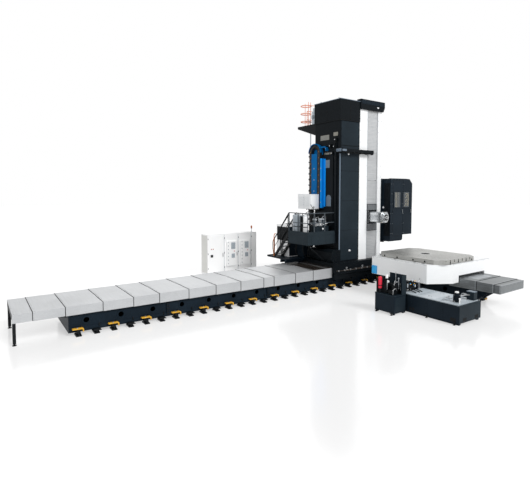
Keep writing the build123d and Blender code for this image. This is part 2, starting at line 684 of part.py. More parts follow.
# Table bed: a box with cored side holes, and two tapering arms that carry the overhanging cover
with BuildPart() as w_bed:
    block(W_BED_X - W_BED_WIDTH / 2, W_BED_X + W_BED_WIDTH / 2, W_BED_FRONT, W_BED_BACK, FOOT_HEIGHT, W_BED_TOP)
    for number in range(4):
        y = W_BED_FRONT + 1400 + number * 1200
        for side in (-1, 1):
            with BuildSketch(Plane((W_BED_X + side * W_BED_WIDTH / 2, y, W_BED_HOLE_Z), x_dir=(0, 1, 0),
                                   z_dir=(-side, 0, 0))):
                Circle(W_BED_HOLE / 2)
            extrude(amount=140, mode=Mode.SUBTRACT)
    arm_front = W_COVER_FRONT + W_END_PLATE + SEAT
    for x in W_ARM_ROWS:
        with BuildSketch(Plane.YZ.offset(W_BED_X + x - W_ARM_SHEET / 2)):
            with BuildLine():
                Polyline((W_BED_FRONT, FOOT_HEIGHT + 20), (W_BED_FRONT, W_BED_TOP), (arm_front, W_COVER_TOP - 60),
                         (arm_front, W_BED_TOP + 200), (W_BED_FRONT - 900, W_BED_TOP + 80), close=True)
            make_face()
        extrude(amount=W_ARM_SHEET)
save(w_bed, "table_bed")


def y_cover(front, back, number, lip_at_front):
    """Section of the table's cover, grown by one step for each number."""
    half = W_COVER_HALF + (number - 2) * W_COVER_STEP
    top = W_COVER_TOP + (number - 2) * W_COVER_STEP
    skirt = W_COVER_SKIRT + 2 * (number - 2) * W_COVER_STEP
    lip = front if lip_at_front else back - 40
    with BuildPart() as cover:
        for start, length, sheet in ((front, back - front, W_COVER_SHEET), (lip, 40, W_COVER_STEP - SEAT)):
            with BuildSketch(Plane.XZ.offset(-start)):
                with BuildLine():
                    Polyline(*[(W_BED_X + x, z) for x, z in roof_outline(half, top, skirt, sheet)], close=True)
                make_face()
            extrude(amount=-length)
    return cover.part


with BuildPart() as fixed_covers:
    add([y_cover(*NEAR_COVERS[0], 0, True), y_cover(*FAR_COVERS[0], 0, False)])
    end_half = W_COVER_HALF - 2 * W_COVER_STEP
    for y in (W_COVER_FRONT, W_COVER_BACK - W_END_PLATE):
        block(W_BED_X - end_half, W_BED_X + end_half, y, y + W_END_PLATE,
              W_COVER_TOP - W_COVER_SKIRT + 2 * W_COVER_STEP, W_COVER_TOP - 2 * W_COVER_STEP)
save(fixed_covers, "table_covers_fixed")
for name, span, at_front in (("table_cover_near", NEAR_COVERS[1], True), ("table_cover_far", FAR_COVERS[1], False)):
    with BuildPart() as middle_cover:
        add(y_cover(*span, 1, at_front))
    save(middle_cover, name)
with BuildPart() as moving_covers:
    add([y_cover(*NEAR_COVERS[2], 2, True), y_cover(*FAR_COVERS[2], 2, False)])
save(moving_covers, "table_covers_moving")

# Service platform: decking on a skirt frame beside the column
with BuildPart() as deck:
    block(DECK_LEFT, COLUMN_LEFT, DECK_FRONT, DECK_BACK, DECK_TOP - DECK_SHEET, DECK_TOP)
    block(DECK_LEFT, COLUMN_LEFT, DECK_FRONT, DECK_FRONT + DECK_SHEET, DECK_TOP - DECK_SKIRT, DECK_TOP)
    block(DECK_LEFT, COLUMN_LEFT, DECK_BACK - DECK_SHEET, DECK_BACK, DECK_TOP - DECK_SKIRT, DECK_TOP)
    block(DECK_LEFT, DECK_LEFT + DECK_SHEET, DECK_FRONT, DECK_BACK, DECK_TOP - DECK_SKIRT, DECK_TOP)
save(deck, "service_platform")


def rail(points, z0, diameter=RAIL_TUBE):
    """Top rail, middle rail and posts along a plan line."""
    with BuildPart() as fence:
        for start, end in zip(points, points[1:]):
            run = Vector(*end) - Vector(*start)
            for z in (z0 + RAIL_HEIGHT / 2, z0 + RAIL_HEIGHT - diameter / 2):
                with BuildSketch(Plane((start[0], start[1], z), z_dir=run.normalized())):
                    RegularPolygon(diameter / 2, 8)
                extrude(amount=run.length)
        with BuildSketch(Plane.XY.offset(z0)):
            with Locations(*points):
                Rectangle(diameter, diameter)
        extrude(amount=RAIL_HEIGHT)
    return fence.part


rail_in = 30
rail_left = DECK_LEFT + rail_in
rail_front = DECK_FRONT + rail_in
front_posts = [(COLUMN_LEFT - rail_in - n * RAIL_POST_PITCH, rail_front) for n in range(3)]
side_posts = [(rail_left, rail_front + n * (DECK_BACK - rail_in - rail_front) / 2) for n in range(3)]
with BuildPart() as railing:
    add(rail(front_posts + side_posts, DECK_TOP))
save(railing, "platform_railing")

# Stair behind the platform down to the rear console: two stringers, treads and handrails
steps = round((DECK_TOP - CONSOLE_TOP) / STAIR_RISE)
stair_right = DECK_LEFT + STAIR_WIDTH
stair_slope = STAIR_RISE / STAIR_SLOPE_RUN
stair_run = (DECK_TOP - CONSOLE_TOP - SEAT) / stair_slope
with BuildPart() as stair:
    for x in (DECK_LEFT, stair_right - STRINGER_SHEET):
        with BuildSketch(Plane.YZ.offset(x)):
            with BuildLine():
                Polyline((DECK_BACK, DECK_TOP), (DECK_BACK, DECK_TOP - STRINGER_DEPTH),
                         (DECK_BACK + stair_run - STRINGER_DEPTH / stair_slope, CONSOLE_TOP + SEAT),
                         (DECK_BACK + stair_run, CONSOLE_TOP + SEAT), close=True)
            make_face()
        extrude(amount=STRINGER_SHEET)
    for step in range(1, steps):
        y = DECK_BACK + (step - 0.75) * STAIR_SLOPE_RUN
        z = DECK_TOP - step * STAIR_RISE
        block(DECK_LEFT + STRINGER_SHEET, stair_right - STRINGER_SHEET, y, y + STAIR_SLOPE_RUN * 0.8, z, z + 30)
    for x in (DECK_LEFT + STRINGER_SHEET / 2, stair_right - STRINGER_SHEET / 2):
        for share in (0.02, 0.5, 0.9):
            y = DECK_BACK + share * stair_run
            z = DECK_TOP - share * stair_run * stair_slope
            block(x - 15, x + 15, y, y + 36, z - 100, z + 900)
        with BuildSketch(Plane.YZ.offset(x - 18)):
            with BuildLine():
                Polyline((DECK_BACK, DECK_TOP + 880), (DECK_BACK, DECK_TOP + 930),
                         (DECK_BACK + stair_run, CONSOLE_TOP + 930), (DECK_BACK + stair_run, CONSOLE_TOP + 880),
                         close=True)
            make_face()
        extrude(amount=36)
save(stair, "platform_stair")

# Rear console: a deck on the saddle with two beams below its overhang, a drive cabinet and the oil chiller
with BuildPart() as console:
    block(CONSOLE_LEFT, CONSOLE_RIGHT, COLUMN_BACK, CONSOLE_BACK, SADDLE_TOP, CONSOLE_TOP)
    for y in CONSOLE_BEAMS:
        block(CONSOLE_LEFT, SADDLE_LEFT - SEAT, y, y + 100, SADDLE_TOP - CONSOLE_BEAM_DEPTH, SADDLE_TOP)
    left, right, front, back, top = DRIVE_CABINET
    block(left, right, front, back, CONSOLE_TOP, top)
save(console, "rear_console")
with BuildPart() as chiller:
    block(CHILLER_LEFT, CHILLER_RIGHT, CHILLER_FRONT, CONSOLE_BACK, CONSOLE_TOP, CHILLER_TOP)
    chamfer(chiller.edges().filter_by(Axis.Z), 30)
save(chiller, "spindle_chiller")

# Feed drive housing beside the column's foot, with a rounded back
with BuildPart() as drive:
    with BuildSketch(Plane.XZ.offset(1250)):
        with Locations(((SADDLE_LEFT + 30 + COLUMN_LEFT) / 2, SADDLE_TOP + 325)):
            Rectangle(COLUMN_LEFT - SADDLE_LEFT - 30, 650)
        fillet(vertices().group_by(Axis.X)[0], 180)
    extrude(amount=-1800)
save(drive, "feed_drive_housing")

# Hydraulic power pack on the platform: tank, motor, and a row of cylinders
with BuildPart() as pack:
    block(-3700, -2760, -620, -120, DECK_TOP, DECK_TOP + 330)
    for x in (-3520, -3150, -2900):
        drum(x, -370, DECK_TOP + 330, DECK_TOP + 660, 210)
    block(-3000, -2760, 80, 500, DECK_TOP, DECK_TOP + 520)
save(pack, "power_pack")
with BuildPart() as cylinders:
    for number in range(BOTTLE_COUNT):
        drum(BOTTLE_X, BOTTLE_FIRST_Y - number * BOTTLE_PITCH, DECK_TOP, DECK_TOP + BOTTLE_HEIGHT, BOTTLE_DIAMETER)
save(cylinders, "gas_cylinders")
with BuildPart() as terminal_box:
    block(TERMINAL_LEFT, COLUMN_LEFT - CHANNEL_DEPTH - SEAT, TERMINAL_FRONT, TERMINAL_BACK, TERMINAL_BOTTOM,
          TERMINAL_TOP)
save(terminal_box, "terminal_box")

# Rear top platform: decking on three tapering gussets
with BuildPart() as top_deck:
    block(COLUMN_LEFT, TOP_DECK_RIGHT, COLUMN_BACK + CAP_LIP, TOP_DECK_BACK, TOP_DECK_Z - 50, TOP_DECK_Z)
    for x in (COLUMN_LEFT, (COLUMN_LEFT + TOP_DECK_RIGHT) / 2, TOP_DECK_RIGHT - 40):
        with BuildSketch(Plane.YZ.offset(x)):
            with BuildLine():
                Polyline((COLUMN_BACK, TOP_DECK_Z - 50), (COLUMN_BACK, TOP_DECK_Z - 650),
                         (TOP_DECK_BACK, TOP_DECK_Z - 130), (TOP_DECK_BACK, TOP_DECK_Z - 50), close=True)
            make_face()
        extrude(amount=40)
save(top_deck, "top_platform")

# Cage of hoops and uprights round the upper ladder
cage_top = TOP_DECK_Z + CAGE_HEIGHT
with BuildPart() as cage:
    for z in (TOP_DECK_Z + 250, TOP_DECK_Z + 700, cage_top - 230):
        with BuildSketch(Plane.XY.offset(z)):
            with Locations((CAGE_X, CAGE_Y)):
                RegularPolygon(CAGE_RADIUS, CAGE_SIDES)
                RegularPolygon(CAGE_RADIUS - 12, CAGE_SIDES, mode=Mode.SUBTRACT)
        extrude(amount=55)
    for bar in range(CAGE_BARS):
        angle = 2 * pi * (bar + 0.5) / CAGE_BARS
        x = CAGE_X + (CAGE_RADIUS - 18) * cos(angle)
        y = CAGE_Y + (CAGE_RADIUS - 18) * sin(angle)
        block(x - 15, x + 15, y - 15, y + 15, TOP_DECK_Z, cage_top)
save(cage, "ladder_cage")
with BuildPart() as ladder:
    for side in (-1, 1):
        x = LADDER_X + side * LADDER_WIDTH / 2
        block(x - 20, x + 20, COLUMN_BACK + 160, COLUMN_BACK + 220, CONSOLE_TOP, TOP_DECK_Z - 60)
        for z in (2600, 5000, 7400):
            block(x - 20, x + 20, COLUMN_BACK, COLUMN_BACK + 160, z, z + 40)
    rungs = int((TOP_DECK_Z - 400 - CONSOLE_TOP) / RUNG_PITCH)
    for rung in range(rungs):
        z = CONSOLE_TOP + 300 + rung * RUNG_PITCH
        block(LADDER_X - LADDER_WIDTH / 2 + 20, LADDER_X + LADDER_WIDTH / 2 - 20, COLUMN_BACK + 178,
              COLUMN_BACK + 202, z, z + 24)
save(ladder, "access_ladder")
with BuildPart() as top_motor:
    motor_y = COLUMN_BACK + CAP_LIP + LIFT_MOTOR / 2 + SEAT
    drum(-2300, motor_y, TOP_DECK_Z, TOP_DECK_Z + 720, LIFT_MOTOR)
    drum(-2300, motor_y, TOP_DECK_Z + 720, TOP_DECK_Z + 900, LIFT_MOTOR * 0.75)
save(top_motor, "lift_motor")

# Cable channels and the energy chain: one run between them, an arch over the rear one, one run behind it
channel_left = COLUMN_LEFT - CHANNEL_DEPTH
near_front, near_back = NEAR_CHANNEL
far_front, far_back = FAR_CHANNEL
chain_near_y = (near_back + far_front) / 2
chain_far_y = far_back + CHAIN_THICK / 2 + RUNNING
arch_y = (chain_near_y + chain_far_y) / 2
arch_radius = (chain_far_y - chain_near_y) / 2
with BuildPart() as channels:
    block(channel_left, COLUMN_LEFT, near_front, near_back, CHAIN_BOTTOM, NEAR_CHANNEL_TOP)
    block(channel_left, COLUMN_LEFT, far_front, far_back, CHAIN_BOTTOM, CHAIN_TOP - 60)
    chamfer(channels.edges().filter_by(Axis.Z).group_by(Axis.X)[0], CHANNEL_EDGE)
save(channels, "cable_channels")
with BuildPart() as chain:
    with BuildSketch(Plane.YZ.offset(COLUMN_LEFT - CHAIN_WIDTH)):
        with Locations((arch_y, CHAIN_TOP)):
            Circle(arch_radius + CHAIN_THICK / 2)
            Circle(arch_radius - CHAIN_THICK / 2, mode=Mode.SUBTRACT)
            with Locations((0, -arch_radius)):
                Rectangle(3 * arch_radius, 2 * arch_radius, mode=Mode.SUBTRACT)
        with Locations((chain_near_y, (CHAIN_TOP + CHAIN_BOTTOM) / 2)):
            Rectangle(CHAIN_THICK, CHAIN_TOP - CHAIN_BOTTOM)
        with Locations((chain_far_y, (CHAIN_TOP + CHAIN_FAR_BOTTOM) / 2)):
            Rectangle(CHAIN_THICK, CHAIN_TOP - CHAIN_FAR_BOTTOM)
    extrude(amount=CHAIN_WIDTH - SEAT)
save(chain, "energy_chain")
with BuildPart() as arm:
    block(COLUMN_LEFT - 120, COLUMN_LEFT, COLUMN_FRONT - 240, COLUMN_FRONT + 160, ARM_BOTTOM - 20, ARM_TOP + 40)
    block(COLUMN_LEFT, ARM_TIP, COLUMN_FRONT - 240, COLUMN_FRONT - 80, ARM_BOTTOM, ARM_TOP)
save(arm, "cable_arm")

# Tool magazine: a stepped housing with a chamfered top corner
with BuildPart() as magazine:
    with BuildSketch(Plane.XZ.offset(-MAGAZINE_FRONT)):
        with BuildLine():
            Polyline((MAGAZINE_LEFT, MAGAZINE_BOTTOM), (MAGAZINE_SPLIT, MAGAZINE_BOTTOM),
                     (MAGAZINE_SPLIT, MAGAZINE_BOTTOM + MAGAZINE_STEP),
                     (MAGAZINE_RIGHT, MAGAZINE_BOTTOM + MAGAZINE_STEP),
                     (MAGAZINE_RIGHT, MAGAZINE_TOP - MAGAZINE_CHAMFER),
                     (MAGAZINE_RIGHT - MAGAZINE_CHAMFER, MAGAZINE_TOP), (MAGAZINE_LEFT, MAGAZINE_TOP), close=True)
        make_face()
    extrude(amount=MAGAZINE_FRONT - MAGAZINE_BACK)
    fillet(magazine.edges().filter_by(Axis.Y).group_by(Axis.Z)[0].sort_by(Axis.X)[-1], MAGAZINE_ROUND)
    block(COLUMN_RIGHT, MAGAZINE_LEFT, COLUMN_FRONT, MAGAZINE_BACK, MAGAZINE_BOTTOM, MAGAZINE_TOP)
    block(MAGAZINE_SPLIT - 8, MAGAZINE_SPLIT + 8, MAGAZINE_FRONT, MAGAZINE_FRONT + 20,
          MAGAZINE_BOTTOM + MAGAZINE_STEP, MAGAZINE_TOP, mode=Mode.SUBTRACT)
save(magazine, "tool_magazine")
with BuildPart() as windows:
    for x in WINDOWS:
        block(x - WINDOW_WIDTH / 2, x + WINDOW_WIDTH / 2, MAGAZINE_FRONT - 20, MAGAZINE_FRONT, WINDOW_BOTTOM,
              WINDOW_BOTTOM + WINDOW_HEIGHT)
save(windows, "magazine_windows")

# Chip and coolant tank with its lid and pumps
tank_left, tank_right, tank_front, tank_back = TANK_BOX
with BuildPart() as tank:
    block(tank_left, tank_right, tank_front, tank_back, 80, TANK_TOP)
    for x in (tank_left + 60, tank_right - 180):
        block(x, x + 120, tank_front + 40, tank_back - 40, 0, 80)
save(tank, "chip_tank")
with BuildPart() as lid:
    lid_edges = [tank_front + share * (tank_back - tank_front) for share in (0.03, 0.32, 0.72, 0.97)]
    for front, back in zip(lid_edges, lid_edges[1:]):
        block(tank_left + 40, tank_right - 40, front, back - LID_GAP, TANK_TOP, TANK_TOP + LID_SHEET)
save(lid, "tank_lid")
with BuildPart() as pumps:
    pump_foot = TANK_TOP + LID_SHEET
    drum(tank_left + 520, tank_front + 420, pump_foot, pump_foot + 260, 260)
    drum(tank_left + 520, tank_front + 420, pump_foot + 260, pump_foot + 320, 180)
    block(tank_right - 320, tank_right - 80, tank_front + 120, tank_front + 420, pump_foot, pump_foot + 330)
save(pumps, "coolant_pumps")

# Hydraulic unit of the table
unit_left, unit_right, unit_front, unit_back = HYDRAULIC_BOX
with BuildPart() as unit:
    block(unit_left, unit_right, unit_front, unit_back, HYDRAULIC_LEG, HYDRAULIC_TOP)
    for x in (unit_left + 40, unit_right - 120):
        for y in (unit_front + 40, unit_back - 120):
            block(x, x + 80, y, y + 80, 0, HYDRAULIC_LEG)
save(unit, "hydraulic_tank")
with BuildPart() as panel:
    block(unit_right - 50, unit_right, unit_front, unit_back - 200, HYDRAULIC_TOP, HYDRAULIC_PANEL_TOP)
    block(unit_right - 260, unit_right - 50, unit_front, unit_front + 40, HYDRAULIC_TOP, HYDRAULIC_PANEL_TOP)
save(panel, "hydraulic_panel")
with BuildPart() as accumulator:
    drum(unit_left + 250, unit_back - 160, HYDRAULIC_TOP, HYDRAULIC_TOP + 620, 170)
    drum(unit_left + 250, unit_back - 160, HYDRAULIC_TOP + 620, HYDRAULIC_TOP + 690, 100)
    drum(unit_left + 380, unit_front + 300, HYDRAULIC_TOP, HYDRAULIC_TOP + 420, 230)
save(accumulator, "accumulators")

# Control cabinets, side by side on one plinth, with coolers on two doors and a signal lamp
door_edges = [CABINET_LEFT]
for width in CABINET_DOORS:
    door_edges.append(door_edges[-1] + width)
cabinet_back = CABINET_FRONT + CABINET_DEPTH
with BuildPart() as cabinets:
    block(door_edges[0] + 20, door_edges[-1] - 20, CABINET_FRONT + 20, cabinet_back - 20, 0, CABINET_PLINTH)
    for left, right in zip(door_edges, door_edges[1:]):
        block(left + 2, right - 2, CABINET_FRONT, cabinet_back, CABINET_PLINTH, CABINET_TOP)
save(cabinets, "control_cabinets")
with BuildPart() as coolers:
    for door in (1, 2):
        middle = (door_edges[door] + door_edges[door + 1]) / 2
        block(middle - 340, middle + 340, CABINET_FRONT - 130, CABINET_FRONT, 500, 2050)
save(coolers, "cabinet_coolers")
with BuildPart() as lamp:
    drum(door_edges[-1] - 250, CABINET_FRONT + 200, CABINET_TOP, CABINET_TOP + 420, 60)
save(lamp, "signal_lamp")
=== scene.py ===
"""Looks of the floor type horizontal boring mill: finishes for its CAD pieces and the small parts on them."""
import math

import bmesh
import bpy
import numpy as np
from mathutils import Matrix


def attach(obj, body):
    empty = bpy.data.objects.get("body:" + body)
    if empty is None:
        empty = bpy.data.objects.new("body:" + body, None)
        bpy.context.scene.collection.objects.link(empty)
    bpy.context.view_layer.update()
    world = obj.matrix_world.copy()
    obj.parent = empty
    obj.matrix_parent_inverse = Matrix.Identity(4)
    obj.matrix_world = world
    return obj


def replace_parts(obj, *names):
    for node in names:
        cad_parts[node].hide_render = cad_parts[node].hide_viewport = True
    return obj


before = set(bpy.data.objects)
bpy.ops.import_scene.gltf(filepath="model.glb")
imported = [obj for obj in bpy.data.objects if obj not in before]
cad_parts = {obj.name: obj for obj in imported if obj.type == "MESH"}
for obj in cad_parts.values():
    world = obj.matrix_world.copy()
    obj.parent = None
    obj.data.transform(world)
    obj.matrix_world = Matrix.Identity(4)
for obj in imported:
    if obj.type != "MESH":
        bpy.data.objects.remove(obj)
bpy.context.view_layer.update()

# Camera: the photograph's own viewpoint, 5.1 m up and in front of the bed's left end
PHOTO_WIDTH = 530
FOCAL_PIXELS = 420
HORIZON_SHIFT = -35.5
lens = bpy.data.cameras.new("photo_camera")
lens.sensor_width = 36
lens.lens = lens.sensor_width * FOCAL_PIXELS / PHOTO_WIDTH
lens.shift_y = HORIZON_SHIFT / PHOTO_WIDTH
lens.clip_end = 400
camera = bpy.data.objects.new("photo_camera", lens)
camera.location = (-18.3, -17.1, 5.1)
camera.rotation_euler = (math.radians(90 - 3.07), 0, math.radians(-34.7))
bpy.context.collection.objects.link(camera)
bpy.context.scene.camera = camera
bpy.context.scene.view_settings.view_transform = "Standard"


# Materials
def linear(text):
    """Turns an sRGB hex colour to the linear values that a shader takes."""
    srgb = [int(text[i:i + 2], 16) / 255 for i in (1, 3, 5)]
    return tuple(c / 12.92 if c <= 0.04045 else ((c + 0.055) / 1.055) ** 2.4 for c in srgb) + (1.0,)


def add_node(tree, kind, inputs=(), **settings):
    """Adds one node, sets its own properties, and fills or links its inputs."""
    made = tree.nodes.new("ShaderNode" + kind)
    for key, value in settings.items():
        setattr(made, key, value)
    for key, value in dict(inputs).items():
        if isinstance(value, bpy.types.NodeSocket):
            tree.links.new(value, made.inputs[key])
        else:
            made.inputs[key].default_value = value
    return made


def surface(name, colours, roughness, grain, patch=0.6, relief=0.2, metal=0.0, coat=0.0, clear=0.0, shine=0.5):
    """A finish of two near colours in soft patches, with a grain that also moves the roughness and the relief.

    grain is the number of grains per metre along x, y and z, and patch is the number of patches per metre.
    """
    made = bpy.data.materials.new(name)
    made.use_nodes = True
    tree = made.node_tree
    tree.nodes.clear()
    place = add_node(tree, "TexCoord").outputs["Object"]
    cloud = add_node(tree, "TexNoise", {"Vector": place, "Scale": patch, "Detail": 5.0, "Roughness": 0.62})
    stretched = add_node(tree, "Mapping", {"Vector": place, "Scale": grain})
    grains = add_node(tree, "TexNoise", {"Vector": stretched.outputs["Vector"], "Scale": 1.0, "Detail": 3.0})
    both = add_node(tree, "Math", {0: cloud.outputs["Fac"], 1: grains.outputs["Fac"]}, operation="ADD")
    share = add_node(tree, "MapRange", {"Value": both.outputs[0], "From Min": 0.72, "From Max": 1.28})
    tint = add_node(tree, "Mix", {"Factor": share.outputs[0], 6: linear(colours[0]), 7: linear(colours[1])},
                    data_type="RGBA")
    gloss = add_node(tree, "MapRange", {"Value": grains.outputs["Fac"], "From Min": 0.3, "From Max": 0.7,
                                        "To Min": roughness - 0.07, "To Max": roughness + 0.07})
    bump = add_node(tree, "Bump", {"Height": grains.outputs["Fac"], "Strength": relief, "Distance": 0.004})
    shader = add_node(tree, "BsdfPrincipled", {"Base Color": tint.outputs[2], "Roughness": gloss.outputs[0],
                                               "Normal": bump.outputs["Normal"], "Metallic": metal,
                                               "Coat Weight": coat, "Coat Roughness": 0.12,
                                               "Transmission Weight": clear, "Specular IOR Level": shine})
    add_node(tree, "OutputMaterial", {"Surface": shader.outputs[0]})
    return made


# Sprayed enamel on iron castings: near black blue, soft sheen, faint orange peel (drawn 20 mm coarse to show)
casting_paint = surface("casting_enamel", ("#111a22", "#1a2630"), 0.42, (45, 45, 45), shine=0.06)
# The same enamel on the column, a little blacker and glossier
column_paint = surface("column_enamel", ("#0c1013", "#14191d"), 0.36, (40, 40, 40), shine=0.06)
# Sprayed enamel on sheet housings: deep slate, smoother than the castings
housing_paint = surface("housing_enamel", ("#141c23", "#1e2831"), 0.4, (60, 60, 60), relief=0.1, shine=0.06)
# White powder coat on sheet and pillars: fine texture, half gloss
white_paint = surface("white_powder_coat", ("#eff1f2", "#f8f9fa"), 0.38, (70, 70, 70), relief=0.08, coat=0.1)
# White stove enamel on the cabinets, slightly warmer
cabinet_paint = surface("cabinet_stove_enamel", ("#f3f4f4", "#fbfbfb"), 0.42, (80, 80, 80), relief=0.1)
# Yellow enamel on the anchor brackets, with darker patches where grease sits
yellow_paint = surface("yellow_enamel", ("#c9921c", "#eab63a"), 0.45, (50, 50, 50), patch=6.0, coat=0.1)
# Blue powder coat on the cable channels
blue_paint = surface("blue_powder_coat", ("#005694", "#006eb0"), 0.5, (60, 60, 60), shine=0.08)
# The same on the narrow channel, brighter
bright_blue_paint = surface("bright_blue_powder_coat", ("#0586e2", "#129af6"), 0.5, (60, 60, 60), shine=0.1)
# Light blue enamel of the small junction box
light_blue_paint = surface("light_blue_enamel", ("#2e9ee0", "#45b4f2"), 0.4, (60, 60, 60), patch=4.0)
# Red lead coloured enamel on the safety cage
red_paint = surface("cage_enamel", ("#e48a6a", "#f2a688"), 0.45, (60, 60, 60), patch=3.0)
# Signal red plastic and enamel for caps and dots
signal_red = surface("signal_red_plastic", ("#c21a36", "#e2263f"), 0.35, (90, 90, 90), patch=6.0)
# Amber lens of the lamp
amber_plastic = surface("amber_plastic", ("#9c4f24", "#bb6a35"), 0.25, (90, 90, 90), patch=6.0)
# Black satin paint on stands, rails and stair
black_paint = surface("black_satin_enamel", ("#0b0d0f", "#14181b"), 0.48, (70, 70, 70), relief=0.12, shine=0.12)
# Platform skirt: dark slate sheet
skirt_paint = surface("slate_powder_coat", ("#20282d", "#2b353b"), 0.45, (60, 60, 60), shine=0.06)
# Brushed stainless sheet of the long covers: the brush runs across the bed, so the grain is long in y
cover_steel = surface("brushed_stainless_sheet", ("#a7a9ab", "#c1c3c5"), 0.4, (55, 0.9, 30), patch=0.35,
                      relief=0.12, metal=0.4)
# Spring steel slats of the apron, brushed along the slat
apron_steel = surface("slatted_spring_steel", ("#aeafb0", "#c9cacb"), 0.42, (1.2, 60, 40), relief=0.2, metal=0.3)
# Ground steel of ram and spindles
ground_steel = surface("ground_steel", ("#8d9194", "#d9dcde"), 0.24, (60, 9, 60), patch=7.0, relief=0.1, metal=0.9)
# Ground and hardened guideways, grey and oiled
way_steel = surface("oiled_way_steel", ("#6f7375", "#8d9092"), 0.3, (1.0, 80, 80), relief=0.1, metal=0.8)
# Planed cast iron of the table plate, tool marks along the slots
planed_iron = surface("planed_cast_iron", ("#8f8f8c", "#b9b9b5"), 0.38, (60, 1.0, 60), patch=0.5, relief=0.3,
                      metal=0.45)
# Dark rolled steel covers of the table bed
dark_steel = surface("dark_rolled_steel", ("#676b6d", "#828688"), 0.4, (40, 2.0, 40), patch=0.7, relief=0.2, metal=0.6)
# Zinc plated screws and fittings
zinc = surface("zinc_plate", ("#9b9ea0", "#c6c8ca"), 0.35, (120, 120, 120), patch=8.0, relief=0.1, metal=0.9)
# Blackened screws
black_oxide = surface(
    "black_oxide_screws", ("#131517", "#212427"), 0.5, (120, 120, 120), patch=8.0, relief=0.1, shine=0.1)
# Polyamide of the energy chain, and black moulded plastic
polyamide = surface("black_polyamide", ("#141516", "#222426"), 0.5, (90, 90, 90), relief=0.25)
# Nitrile rubber of wipers, hoses and seals
rubber = surface("nitrile_rubber", ("#141516", "#202122"), 0.7, (120, 120, 120), relief=0.3, shine=0.1)
# Brown braided hose cover
brown_hose = surface("brown_hose_cover", ("#2e2722", "#4a423a"), 0.62, (120, 120, 120), patch=5.0, relief=0.3)
# Light grey machine enamel on units, panels and motors
grey_paint = surface("light_grey_enamel", ("#b2bac1", "#c9d0d6"), 0.42, (60, 60, 60))
# Middle grey enamel of pumps and conduits
mid_grey_paint = surface("middle_grey_enamel", ("#7d868d", "#98a1a8"), 0.42, (60, 60, 60))
# Blue grey moulded grilles
grille_plastic = surface("blue_grey_grille_plastic", ("#a3adb5", "#bcc5cc"), 0.5, (90, 90, 90))
# Gold anodised bar behind the windows; the same pale colour also paints the glints of the tools behind the glass, a
# painted highlight
gold_anodised_and_glint = surface("gold_anodised_aluminium_and_glint", ("#a39a80", "#cdc6b0"), 0.35, (4, 90, 90), metal=0.5)
# Smoked polycarbonate of the windows
smoked_window = surface(
    "smoked_polycarbonate", ("#2c343a", "#3d474f"), 0.12, (3, 3, 3), patch=0.5, relief=0.02, coat=0.4, clear=0.25)
# Orange enamel of the guard pole
orange_paint = surface("orange_enamel", ("#c9702f", "#e28c47"), 0.45, (60, 60, 60), patch=4.0)

# Slate powder coat of the column's front plates and the tanks' ends, lighter than the castings
slate_paint = surface("slate_powder_coat_fine", ("#1b2329", "#263037"), 0.42, (60, 60, 60), shine=0.06)
# Railing tubes: dark slate enamel, worn a little pale by hands
rail_paint = surface("rail_slate_enamel", ("#2b3238", "#3c454c"), 0.4, (90, 90, 90), patch=2.0)
# Beige label plates on the column
label_plate = surface("beige_label_plate", ("#76746b", "#8b8980"), 0.45, (90, 90, 90), patch=2.0)
# Pale slate enamel: painted highlight on folded edges that catch the light, as on the column's corner and the cap's
# roof edge, and the pale colour of the column's covers and some fittings
pale_slate_and_highlight = surface("pale_slate_and_painted_highlight_enamel", ("#566472", "#697887"), 0.38, (60, 60, 60), patch=3.0)
# Middle grey enamel on the head's front
head_paint = surface("head_grey_enamel", ("#55595c", "#6a6e71"), 0.4, (8, 60, 60), patch=2.5, coat=0.1)
# Fine ground steel, almost a mirror, on ram strips and spindle faces; also a painted highlight along the table's slot
# chamfers
bright_steel_and_highlight = surface(
    "fine_ground_steel_and_highlight", ("#cfd2d4", "#e9ebec"), 0.18, (60, 60, 60), patch=9.0, relief=0.05, metal=0.9)
# Dark brown steel under the saddle's wiper: painted reflection and shade of the dark platform and column on the
# polished cover
painted_reflection_steel = surface(
    "painted_reflection_brown_steel", ("#2a2522", "#4a423c"), 0.3, (30, 1.0, 30), patch=1.5, relief=0.15, metal=0.6)
# Paler rolled steel of cover hems
pale_steel = surface("pale_rolled_steel", ("#8d9296", "#a7abae"), 0.35, (40, 2.0, 40), relief=0.15, metal=0.6)
# Copper coloured clips on the energy chain
copper_clip = surface("brass_passivated_clip", ("#7a5236", "#a06f47"), 0.45, (90, 90, 90), patch=8.0, metal=0.4)
# Cabinet sides seen away from the light: the cabinet enamel painted darker as painted shade
cabinet_side_shade = surface("cabinet_side_painted_shade_enamel", ("#d3d3cf", "#dededa"), 0.45, (80, 80, 80), relief=0.1)

